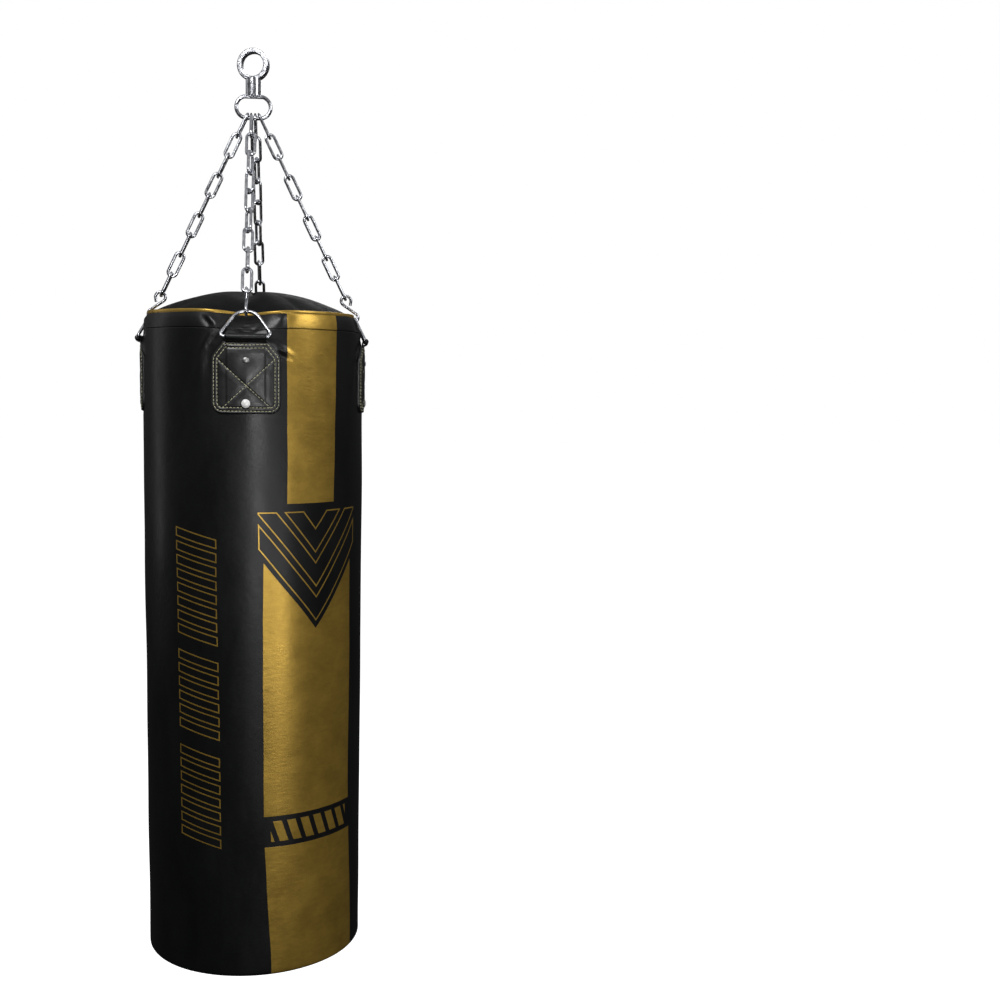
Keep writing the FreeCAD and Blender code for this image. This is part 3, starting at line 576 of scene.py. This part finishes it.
# patches
patch = {
    "top": 0.078, "shoulder": 0.027, "corner": 0.019, "thick": 0.0034, "edge": 0.0011,
    "strapHalf": 0.034, "strapRise": 0.0009, "puff": 0.0007,
    "rows": (0.0048, 0.0108), "groove": (0.0008, 0.0012),
    "crossing": [((-0.0485, 0.031), (0.0405, 0.1135)), ((0.0480, 0.031), (-0.0385, 0.1140))],
    "across": 120, "down": 126,
}
rivetDepths = (0.083, 0.157)


def patchOutline(inset=0.0):
    # the outline as across, down from the patch's top, drawn round and then moved inwards
    half, height = patchSize[0] / 2, patchSize[1]
    r = patch["corner"]
    line = [(-patch["top"] / 2, 0), (patch["top"] / 2, 0), (half - 0.0035, patch["shoulder"] - 0.005),
            (half - 0.0010, patch["shoulder"]), (half, patch["shoulder"] + 0.007), (half, height - r)]
    bend = np.radians([15, 30, 45, 60, 75])
    line += [(half - r + r * math.cos(a), height - r + r * math.sin(a)) for a in bend]
    line += [(half - r, height), (-half + r, height)]
    line += [(-half + r - r * math.sin(a), height - r + r * math.cos(a)) for a in bend]
    line += [(-half, height - r), (-half, patch["shoulder"] + 0.007)]
    line += [(-half + 0.0010, patch["shoulder"]), (-half + 0.0035, patch["shoulder"] - 0.005)]
    line = np.array(line)
    if not inset:
        return line
    moved = []
    for before, here, after in zip(np.roll(line, 1, 0), line, np.roll(line, -1, 0)):
        one = (here - before) / np.linalg.norm(here - before)
        two = (after - here) / np.linalg.norm(after - here)
        n1, n2 = np.array([-one[1], one[0]]), np.array([-two[1], two[0]])
        bisector = (n1 + n2) / np.linalg.norm(n1 + n2)
        moved.append(here + bisector * inset / max(0.4, bisector @ n1))
    return np.array(moved)


def lineDistance(points, line, closed=True):
    best = np.full(points.shape[:-1], 1e9)
    ends = list(zip(line, np.roll(line, -1, 0))) if closed else list(zip(line[:-1], line[1:]))
    for a, b in ends:
        a, b = np.array(a), np.array(b)
        t = np.clip(((points - a) @ (b - a)) / ((b - a) @ (b - a)), 0, 1)
        best = np.minimum(best, np.linalg.norm(points - a - t[..., None] * (b - a), axis=-1))
    return best


def patchHeight(local):
    rim = lineDistance(local, patchOutline())
    rise = patch["thick"] * (1 - np.exp(-rim / patch["edge"]))
    rows = [patchOutline(inset) for inset in patch["rows"]]
    deep, wide = patch["groove"]
    stitched = np.full(rim.shape, 1e9)
    for row in rows:
        stitched = np.minimum(stitched, lineDistance(local, row))
    for line in patch["crossing"]:
        stitched = np.minimum(stitched, lineDistance(local, np.array(line), closed=False))
    fold = np.clip((patch["strapHalf"] - np.abs(local[..., 0])) / 0.004, 0, 1)
    fold = fold * fold * (3 - 2 * fold) * np.clip((0.117 - local[..., 1]) / 0.004, 0, 1)
    rise = rise + patch["strapRise"] * fold
    rise = rise + patch["puff"] * np.clip(stitched / 0.009, 0, 1)
    rise = rise - deep * np.exp(-((stitched / wide) ** 2))
    for depth in rivetDepths:
        gap = np.hypot(local[..., 0], local[..., 1] - (depth - patchTop))
        rise = rise - 0.0009 * np.exp(-((gap / 0.011) ** 2))
    return np.maximum(rise, 0)


def patchPlace(local, lift, side):
    turn = side + np.degrees(local[..., 0] / bagRadius)
    down = patchTop + local[..., 1]
    return onWall(turn, wallRadius(turn, down) + lift, down)


def makePatch(name, side, seed):
    half, height = patchSize[0] / 2, patchSize[1]
    downs = np.concatenate([np.linspace(0, height - 0.010, patch["down"] - 16),
                            height - 0.010 + 0.010 * np.sin(np.radians(np.linspace(0, 90, 17)[1:]))])
    reach = []
    for d in downs:
        r = patch["corner"]
        if d < patch["shoulder"]:
            w = patch["top"] / 2 + (half - patch["top"] / 2) * d / patch["shoulder"]
        elif d <= height - r:
            w = half
        else:
            w = half - r + math.sqrt(max(0.0, r * r - (d - height + r) ** 2))
        reach.append(w)
    spread = np.sin(np.radians(np.linspace(-90, 90, patch["across"] + 1)))
    spread = 0.35 * spread + 0.65 * np.linspace(-1, 1, patch["across"] + 1)
    across = np.array(reach)[:, None] * spread[None]
    local = np.stack([across, np.repeat(downs[:, None], len(spread), 1)], axis=-1)
    inside = local.copy()
    inside[..., 0] *= 0.999
    lift = patchHeight(inside)
    lift += 0.00035 * ripple(side + local[..., 0] * 300, local[..., 1] + seed, 0.016, seed)
    border = np.zeros(lift.shape, bool)
    border[0], border[-1], border[:, 0], border[:, -1] = True, True, True, True
    lift[border] = 0.0004
    front = patchPlace(local, lift + 0.0006, side)
    back = patchPlace(local, np.full(lift.shape, -0.0012), side)
    rows, columns = lift.shape
    count = rows * columns
    faces = gridFaces(rows, columns)
    faces += [tuple(count + k for k in reversed(face)) for face in faces]
    ring = borderOf(rows, columns)
    faces += [(a, b, count + b, count + a) for a, b in zip(ring, ring[1:] + ring[:1])]
    points = np.concatenate([front.reshape(-1, 3), back.reshape(-1, 3)])
    piece = showMesh(name, points, faces, patchLeather)
    outwards(piece)
    return piece


patches = {}
for k, (side, turn) in enumerate(sideNames.items()):
    patches[side] = makePatch("patch" + side.title(), turn, 2.0 + k)
print("patches made")


# strap loops round the feet of the D-rings
strap = {
    "half": 0.035, "thick": 0.0024, "loose": 0.0004, "ringWire": 0.003, "rows": 44, "across": 28,
    "edge": 0.0012, "ribPitch": 0.0032, "rib": 0.000066,
    # radius, depth under the rim, and how closely the strap follows the bag's curve there
    "behind": [(0.2005, 0.075, 1.0), (0.2012, 0.058, 1.0)],
    "front": [(0.2034, 0.0505, 0.9), (0.2024, 0.0560, 1.0), (0.2022, 0.0760, 1.0)],
}


def makeStraps():
    points, faces = [], []
    for side, turn in sideNames.items():
        low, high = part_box("d_ring_" + side)
        extremes = [abs(v) for v in (low.x, low.y, high.x, high.y)]
        barOut = max(extremes) - strap["ringWire"]
        barZ = low.z + strap["ringWire"]
        half = strap["half"]
        wrap = strap["ringWire"] + strap["loose"] + strap["thick"] / 2
        # the strap's middle line: up behind the bar, over it and down inside the patch
        path = [(r, rimZ - deep, hug) for r, deep, hug in strap["behind"]]
        path += [(barOut - wrap, barZ - 0.004, 0.25)]
        for a in np.radians(np.linspace(0, 180, 13)):
            path.append((barOut - wrap * math.cos(a), barZ + wrap * math.sin(a), 0.0))
        path += [(barOut + wrap - 0.0006, barZ - 0.0025, 0.15), (barOut + 0.0028, barZ - 0.0050, 0.4)]
        path += [(r, rimZ - deep, hug) for r, deep, hug in strap["front"]]
        path = np.array(path)
        steps = np.concatenate([[0], np.cumsum(np.linalg.norm(np.diff(path[:, :2], axis=0), axis=1))])
        where = np.linspace(0, steps[-1], strap["rows"])
        line = np.stack([np.interp(where, steps, path[:, k]) for k in range(3)], axis=-1)
        lead = np.gradient(line[:, :2], axis=0)
        lead /= np.linalg.norm(lead, axis=1)[:, None]
        normal = np.stack([-lead[:, 1], lead[:, 0]], axis=-1)
        out = Vector((math.sin(math.radians(turn)), -math.cos(math.radians(turn)), 0))
        tangent = Vector((0, 0, 1)).cross(out)
        start = len(points)
        across = np.linspace(-half, half, strap["across"])
        for face in (1, -1):
            for (r, z, hug), (nr, nz) in zip(line, normal):
                for x in across:
                    edge = 1 - np.clip((half - abs(x)) / strap["edge"], 0, 1) ** 2
                    t = face * strap["thick"] / 2 * (1 - 0.65 * edge)
                    rib = strap["rib"] * math.cos(x * 2 * math.pi / strap["ribPitch"])
                    radial = r + nr * (t + rib * face) - hug * x * x / (2 * bagRadius)
                    p = out * radial + tangent * x + Vector((0, 0, z + nz * t))
                    points.append(p)
        rows, columns = strap["rows"], strap["across"]
        sheet = gridFaces(rows, columns)
        offset = rows * columns
        faces += [tuple(start + k for k in face) for face in sheet]
        faces += [tuple(start + offset + k for k in reversed(face)) for face in sheet]
        ring = borderOf(rows, columns)
        for a, b in zip(ring, ring[1:] + ring[:1]):
            faces.append((start + a, start + b, start + offset + b, start + offset + a))
    piece = showMesh("strapLoops", points, faces, blackLeather)
    outwards(piece)
    return piece


straps = makeStraps()
print("straps made")


# rim binding
binding = {"high": 0.0072, "wide": 0.0062, "proud": 0.0013, "columns": 480, "profile": 14}


def bindingLine(turns, outward=0.0, up=0.0):
    radius, height, _ = rimShape(turns)
    a = np.radians(turns)
    r = radius + outward
    return np.stack([np.sin(a) * r, -np.cos(a) * r, height + up], axis=-1)


def makeBinding():
    turns = np.linspace(-180, 180, binding["columns"], endpoint=False)
    rows = []
    wave = 0.00035 * ripple(turns, np.zeros(len(turns)), 0.022, 5.5)
    for a in np.radians(np.linspace(0, 360, binding["profile"], endpoint=False)):
        c, s = math.cos(a), math.sin(a)
        outward = math.copysign(abs(c) ** 0.45, c) * binding["wide"] / 2
        up = math.copysign(abs(s) ** 0.45, s) * binding["high"] / 2
        outward = binding["proud"] - binding["wide"] / 2 + outward + wave
        rows.append(bindingLine(turns, outward, up + 0.6 * wave))
    points = np.array(rows).reshape(-1, 3)
    n, m = binding["profile"], binding["columns"]
    faces = [(i * m + j, ((i + 1) % n) * m + j, ((i + 1) % n) * m + (j + 1) % m, i * m + (j + 1) % m)
             for i in range(n) for j in range(m)]
    piece = showMesh("rimBinding", points, faces, goldTape)
    outwards(piece)
    return piece


rimTape = makeBinding()
print("binding made")


# crowned top cover
cover = {"rings": 46, "columns": 240, "tuck": 0.004, "loft": 0.007, "fullness": 2.1, "crease": 0.0026,
         "lump": 0.0022, "lumpSize": 0.06}


def makeCover():
    crown = coverTop - rimZ
    turns = np.linspace(-180, 180, cover["columns"], endpoint=False)
    radius, height, _ = rimShape(turns)
    rows = []
    for k in range(cover["rings"] + 1):
        share = math.sin(math.radians(90) * (1 - k / cover["rings"]))     # 1 at the rim, 0 in the middle
        r = (radius - cover["tuck"]) * share
        dome = 1 - share ** cover["fullness"]
        # folds run from the rim towards the middle
        a = np.radians(turns)
        folds = (np.abs(np.sin(4 * a + 0.5 + 0.6 * np.sin(2 * a))) ** 0.6 - 0.62)
        folds += 0.55 * (np.abs(np.sin(9.5 * a + 1.3)) - 0.6) * (np.sin(a * 3 + 0.4) > -0.3)
        reach = (share ** 2.2) * (1 - share ** 7) * 1.5
        x, y = np.sin(a) * r, -np.cos(a) * r
        spots = [Vector((px, py, 0.0)) / cover["lumpSize"] for px, py in zip(x, y)]
        lumps = [noise.noise(spot + Vector((1.7, 4.2, 0))) for spot in spots]
        z = height + (crown + cover["loft"]) * dome + cover["crease"] * folds * reach
        z = z + cover["lump"] * np.array(lumps) * min(1.0, 3 * (1 - share))
        rows.append(np.stack([x, y, z], axis=-1))
    middle = rows[-1].mean(axis=0)
    body = np.concatenate(rows[:-1])
    points = np.concatenate([body, middle[None]])
    m = cover["columns"]
    faces = []
    for i in range(cover["rings"] - 1):
        for j in range(m):
            k = (j + 1) % m
            faces.append((i * m + j, i * m + k, (i + 1) * m + k, (i + 1) * m + j))
    centre = len(points) - 1
    last = (cover["rings"] - 1) * m
    faces += [(last + j, last + (j + 1) % m, centre) for j in range(m)]
    return showMesh("topCover", points, faces, coverLeather)


topCover = makeCover()
print("cover made")


# base panel
base = {"radius": 0.1905, "seam": 0.183, "sag": 0.0025, "rings": 30, "columns": 192}


def makeBase():
    turns = np.linspace(-180, 180, base["columns"], endpoint=False)
    a = np.radians(turns)
    rows = []
    shares = [(base["radius"], 0.0045), (base["radius"] + 0.001, 0.002), (base["radius"], 0.0002)]
    for k in range(base["rings"]):
        r = base["radius"] - 0.001 - (base["radius"] - 0.001) * (k / base["rings"]) ** 0.9
        groove = 0.0011 * math.exp(-(((r - base["seam"]) / 0.0022) ** 2))
        z = -base["sag"] * (1 - (r / base["radius"]) ** 2) + groove
        shares.append((r, z))
    for r, z in shares:
        lumps = [0.0009 * noise.noise(Vector((math.sin(t) * r, math.cos(t) * r, 0)) / 0.05) for t in a]
        lumps = np.array(lumps) * (r < 0.17)
        rows.append(np.stack([np.sin(a) * r, -np.cos(a) * r, bagBottom + z + lumps], axis=-1))
    m = base["columns"]
    points = np.concatenate(rows + [np.array([[0, 0, bagBottom - base["sag"]]])])
    faces = gridFaces(len(rows), m, closed=True)
    centre, last = len(points) - 1, (len(rows) - 1) * m
    faces += [(last + j, centre, last + (j + 1) % m) for j in range(m)]
    return showMesh("basePanel", points, faces, blackLeather)


basePanel = makeBase()
print("base made")


# what repeats: stitches and rivets, by geometry nodes
def nodeTree(name, sizes):
    tree = bpy.data.node_groups.new(name, "GeometryNodeTree")
    tree.interface.new_socket("Geometry", in_out="INPUT", socket_type="NodeSocketGeometry")
    for label, kind in sizes.items():
        tree.interface.new_socket(label, in_out="INPUT", socket_type="NodeSocket" + kind)
    tree.interface.new_socket("Geometry", in_out="OUTPUT", socket_type="NodeSocketGeometry")
    given = tree.nodes.new("NodeGroupInput")
    return tree, Wire(tree), {s.name: Wire(tree, s) for s in given.outputs if s.name}


def closeTree(wire, shape, look):
    real = wire.node("GeometryNodeRealizeInstances", {}, {"Geometry": shape})
    done = wire.node("GeometryNodeSetMaterial", {}, {"Geometry": real, "Material": look})
    output = wire.tree.nodes.new("NodeGroupOutput")
    wire.tree.links.new(done.socket, output.inputs[0])


def stitchTree():
    sizes = {"Pitch": "Float", "Stitch Length": "Float", "Thread Radius": "Float", "Seed": "Int",
             "Finish": "Material"}
    tree, wire, given = nodeTree("stitchRow", sizes)
    line = wire.node("GeometryNodeMeshToCurve", {}, {"Mesh": given["Geometry"]})
    dots = wire.node("GeometryNodeCurveToPoints", {"mode": "LENGTH"},
                     {"Curve": line, "Length": given["Pitch"]})
    tangent = Wire(tree, dots.socket.node.outputs["Tangent"])
    facing = wire.node("FunctionNodeAlignRotationToVector", {"axis": "Z"}, {"Vector": tangent})
    ball = wire.node("GeometryNodeMeshUVSphere", {}, {"Segments": 6, "Rings": 5, "Radius": 1.0})
    half = wire.node("ShaderNodeMath", {"operation": "MULTIPLY"}, {0: given["Stitch Length"], 1: 0.5})
    thin = given["Thread Radius"]
    size = wire.node("ShaderNodeCombineXYZ", {}, {"X": thin, "Y": thin, "Z": half})
    stitch = wire.node("GeometryNodeTransform", {}, {"Geometry": ball, "Scale": size})
    picker = wire.node("FunctionNodeRandomValue", {"data_type": "FLOAT"}, {"Seed": given["Seed"]}, 1)
    picker = picker.socket.node
    uneven = Wire(tree, picker.outputs[1])
    picker.inputs[2].default_value, picker.inputs[3].default_value = 0.88, 1.08
    spread = wire.node("ShaderNodeCombineXYZ", {}, {"X": uneven, "Y": uneven, "Z": uneven})
    laid = wire.node("GeometryNodeInstanceOnPoints", {},
                     {"Points": dots, "Instance": stitch, "Rotation": facing, "Scale": spread})
    closeTree(wire, laid, given["Finish"])
    return tree


def rivetTree():
    sizes = {"Head Radius": "Float", "Head Height": "Float", "Flange": "Float", "Finish": "Material"}
    tree, wire, given = nodeTree("rivetHeads", sizes)
    spot = wire.node("GeometryNodeInputPosition", {}, {})
    flat = wire.node("ShaderNodeVectorMath", {"operation": "MULTIPLY"}, {0: spot, 1: (1.0, 1.0, 0.0)})
    facing = wire.node("FunctionNodeAlignRotationToVector", {"axis": "Z"}, {"Vector": flat})
    ball = wire.node("GeometryNodeMeshUVSphere", {}, {"Segments": 32, "Rings": 16, "Radius": 1.0})
    radius = given["Head Radius"]
    size = wire.node("ShaderNodeCombineXYZ", {}, {"X": radius, "Y": radius, "Z": given["Head Height"]})
    dome = wire.node("GeometryNodeTransform", {}, {"Geometry": ball, "Scale": size})
    wide = wire.node("ShaderNodeMath", {"operation": "MULTIPLY"}, {0: given["Head Radius"], 1: 1.16})
    skirt = wire.node("ShaderNodeCombineXYZ", {}, {"X": wide, "Y": wide, "Z": given["Flange"]})
    lip = wire.node("GeometryNodeTransform", {}, {"Geometry": ball, "Scale": skirt})
    head = wire.node("GeometryNodeJoinGeometry", {}, {})
    join = head.socket.node
    tree.links.new(dome.socket, join.inputs[0])
    tree.links.new(lip.socket, join.inputs[0])
    laid = wire.node("GeometryNodeInstanceOnPoints", {},
                     {"Points": given["Geometry"], "Instance": head, "Rotation": facing})
    closeTree(wire, laid, given["Finish"])
    return tree


def grow(name, tree, points, edges, inputs):
    # runs a tree over a drawn line or points, and keeps the result as a plain mesh
    guide = showMesh(name + "Guide", points, [], None, edges)
    modifier = guide.modifiers.new("grow", "NODES")
    modifier.node_group = tree
    for item in tree.interface.items_tree:
        if item.item_type == "SOCKET" and item.in_out == "INPUT" and item.name in inputs:
            modifier[item.identifier] = inputs[item.name]
    bpy.context.view_layer.update()
    graph = bpy.context.evaluated_depsgraph_get()
    mesh = bpy.data.meshes.new_from_object(guide.evaluated_get(graph))
    guide.modifiers.remove(modifier)
    bpy.data.objects.remove(guide)
    mesh.name = name
    piece = bpy.data.objects.new(name, mesh)
    scene.collection.objects.link(piece)
    mesh.shade_smooth()
    return piece


def chain(lines):
    # separate polylines as one list of points and edges
    points, edges = [], []
    for line, closed in lines:
        first = len(points)
        points += [tuple(p) for p in line]
        edges += [(first + k, first + k + 1) for k in range(len(line) - 1)]
        if closed:
            edges.append((first + len(line) - 1, first))
    return points, edges


def divide(line, step, closed):
    line = np.array(line, float)
    if closed:
        line = np.concatenate([line, line[:1]])
    run = np.concatenate([[0], np.cumsum(np.linalg.norm(np.diff(line, axis=0), axis=1))])
    count = max(2, int(run[-1] / step))
    where = np.linspace(0, run[-1], count, endpoint=not closed)
    return np.stack([np.interp(where, run, line[:, k]) for k in range(line.shape[1])], axis=-1)


stitches, heads = stitchTree(), rivetTree()
thread = {"pitch": 0.0064, "long": 0.0050, "thick": 0.00074}
patchLines = []
for side, turn in sideNames.items():
    for inset in patch["rows"]:
        local = divide(patchOutline(inset), 0.002, True)
        patchLines.append((patchPlace(local, patchHeight(local) + 0.0010, turn), True))
    for line in patch["crossing"]:
        local = divide(line, 0.002, False)
        patchLines.append((patchPlace(local, patchHeight(local) + 0.0009, turn), False))
points, edges = chain(patchLines)
patchStitches = grow("patchStitches", stitches, points, edges, {
    "Pitch": thread["pitch"], "Stitch Length": thread["long"], "Thread Radius": thread["thick"],
    "Seed": 4, "Finish": paleThread})

turns = np.linspace(-180, 180, 720, endpoint=False)
points, edges = chain([(bindingLine(turns, binding["proud"] + 0.00005, -0.0008), True)])
bindingStitches = grow("bindingStitches", stitches, points, edges, {
    "Pitch": 0.0052, "Stitch Length": 0.0034, "Thread Radius": 0.00048, "Seed": 7, "Finish": brownThread})

seamDepth = np.full(turns.shape, 0.0262)
seamRadius = wallRadius(turns, seamDepth) + creaseHeight(turns, seamDepth) + bag["hem"] + 0.0003
seamLine = onWall(turns, seamRadius, seamDepth)
baseLine = np.stack([np.sin(np.radians(turns)) * base["seam"], -np.cos(np.radians(turns)) * base["seam"],
                     np.full(turns.shape, bagBottom + 0.0008)], axis=-1)
points, edges = chain([(seamLine, True), (baseLine, True)])
hemStitches = grow("hemStitches", stitches, points, edges, {
    "Pitch": 0.0052, "Stitch Length": 0.0040, "Thread Radius": 0.00045, "Seed": 9, "Finish": blackThread})


def rivetPlaces(depth, lift):
    local = np.array([0.0, depth - patchTop])
    return [patchPlace(local, patchHeight(local) + lift, turn) for turn in sideNames.values()]


upperRivets = grow("upperRivets", heads, rivetPlaces(rivetDepths[0], 0.0002), [], {
    "Head Radius": 0.0060, "Head Height": 0.0026, "Flange": 0.0010, "Finish": dullRivet})
# the lower caps carry the painted highlight
rivetCaps = grow("rivetCaps", heads, rivetPlaces(rivetDepths[1], 0.0012), [], {
    "Head Radius": 0.0064, "Head Height": 0.0024, "Flange": 0.0008, "Finish": paintedHighlightCap})
# eyelet rings, near black as painted shade round the caps
rivetEyelets = grow("rivetEyelets", heads, rivetPlaces(rivetDepths[1], 0.0005), [], {
    "Head Radius": 0.0082, "Head Height": 0.0014, "Flange": 0.0009, "Finish": eyeletPaintedShade})
print("stitches and rivets made")


# steel parts keep their solids and take a plated finish
for name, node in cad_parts.items():
    if name.startswith(("swivel", "thrust", "chain_", "s_hook", "d_ring")):
        node.data.materials.clear()
        node.data.materials.append(platedSteel)

for piece in (skin, topCover, basePanel, rimTape, straps, patchStitches, bindingStitches, hemStitches,
              upperRivets, rivetCaps, rivetEyelets, *patches.values()):
    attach(piece, "bag")
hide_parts("bag_skin", "filling")
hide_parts("base_panel")
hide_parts("top_cover")
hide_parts("rim_binding")
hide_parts("strap_loops")
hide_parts("patch_rivets")
for side, piece in patches.items():
    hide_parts("patch_" + side)
print("pieces ride on the bag")

# floor, light and camera
stage = {"floor": bagBottom - 0.42, "size": 60.0, "colour": (0.93, 0.93, 0.93), "glow": 0.80}


def makeStage():
    half = stage["size"] / 2
    corners = [(-half, -half), (half, -half), (half, half), (-half, half)]
    look, wire, shader = newMaterial("paleFloor")
    place = wire.node("ShaderNodeTexCoord", {}, {}, "Object")
    mottle = grainNoise(wire, place, 0.6, 2.0)
    feed(wire, shader, "Base Color", mottle.mix(stage["colour"], (0.96, 0.96, 0.96)))
    feed(wire, shader, "Roughness", 0.9)
    shader.inputs["Emission Color"].default_value = (1.0, 1.0, 1.0, 1.0)
    shader.inputs["Emission Strength"].default_value = stage["glow"]
    floor = showMesh("floor", [(x, y, stage["floor"]) for x, y in corners], [(0, 1, 2, 3)], look)
    floor.visible_glossy = floor.visible_diffuse = False     # the floor doesn't grey the black leather


lamps = {
    "frontSoftbox": {"turn": 8, "away": 2.8, "up": -0.87, "aim": -0.9, "size": (0.4, 0.66), "watts": 12},
    "lowSoftbox": {"turn": 29, "away": 2.8, "up": -1.4, "aim": -1.0, "size": (0.3, 0.3), "watts": 5.5},
    "upperSoftbox": {"turn": -20, "away": 2.0, "up": 0.9, "aim": -0.45, "size": (0.9, 0.6), "watts": 26},
    "rightSoftbox": {"turn": 58, "away": 2.4, "up": 0.5, "aim": -0.5, "size": (0.6, 0.9), "watts": 15},
    "leftStrip": {"turn": -105, "away": 2.0, "up": -0.3, "aim": -0.8, "size": (0.35, 1.8), "watts": 2},
    "backSoftbox": {"turn": 170, "away": 2.6, "up": 0.5, "aim": -0.6, "size": (0.8, 1.4), "watts": 14},
}


def makeLamps():
    for name, lamp in lamps.items():
        light = bpy.data.lights.new(name, "AREA")
        light.shape, light.energy = "RECTANGLE", lamp["watts"]
        light.size, light.size_y = lamp["size"]
        holder = bpy.data.objects.new(name, light)
        a = math.radians(lamp["turn"])
        place = Vector((math.sin(a) * lamp["away"], -math.cos(a) * lamp["away"], lamp["up"]))
        holder.location = place
        holder.rotation_mode = "QUATERNION"
        holder.rotation_quaternion = (Vector((0, 0, lamp["aim"])) - place).to_track_quat("-Z", "Y")
        scene.collection.objects.link(holder)
    world = bpy.data.worlds.new("whiteRoom")
    world.use_nodes = True
    scene.world = world
    tree = world.node_tree
    wire = Wire(tree)
    seen = wire.node("ShaderNodeLightPath", {}, {}, "Is Camera Ray")
    way = wire.node("ShaderNodeTexCoord", {}, {}, "Generated")
    cut = tree.nodes.new("ShaderNodeSeparateXYZ")
    tree.links.new(way.socket, cut.inputs[0])
    height = Wire(tree, cut.outputs[2])
    room = height.ease(-0.2, 0.9, 0.018, 0.38)
    strength = room + seen * (1.0 - room)
    feed(wire, tree.nodes["Background"], "Strength", strength)
    tree.nodes["Background"].inputs["Color"].default_value = (1.0, 1.0, 1.0, 1.0)


shot = {"away": 2.4875, "turn": 4.0, "up": -0.57475, "yaw": 10.69, "pitch": 5.056, "roll": 0.799,
        "lens": 47.003}


def makeCamera():
    turn, yaw, pitch, roll = (math.radians(shot[k]) for k in ("turn", "yaw", "pitch", "roll"))
    inwards = Vector((-math.sin(turn), math.cos(turn), 0))
    sideways = Vector((math.cos(turn), math.sin(turn), 0))
    ahead = inwards * math.cos(yaw) + sideways * math.sin(yaw)
    right = sideways * math.cos(yaw) - inwards * math.sin(yaw)
    ahead = ahead * math.cos(pitch) - Vector((0, 0, 1)) * math.sin(pitch)
    up = right.cross(ahead)
    right, up = (right * math.cos(roll) + up * math.sin(roll),
                 up * math.cos(roll) - right * math.sin(roll))
    camera = bpy.data.objects.new("camera", bpy.data.cameras.new("camera"))
    camera.data.lens, camera.data.sensor_width = shot["lens"], 36.0
    camera.data.clip_start, camera.data.clip_end = 0.05, 100.0
    place = -inwards * shot["away"] + Vector((0, 0, shot["up"]))
    frameAxes = Matrix((right, up, -ahead)).transposed().to_4x4()
    camera.matrix_world = Matrix.Translation(place) @ frameAxes
    scene.collection.objects.link(camera)
    scene.camera = camera


makeStage()
makeLamps()
makeCamera()
print("stage, light and camera made")
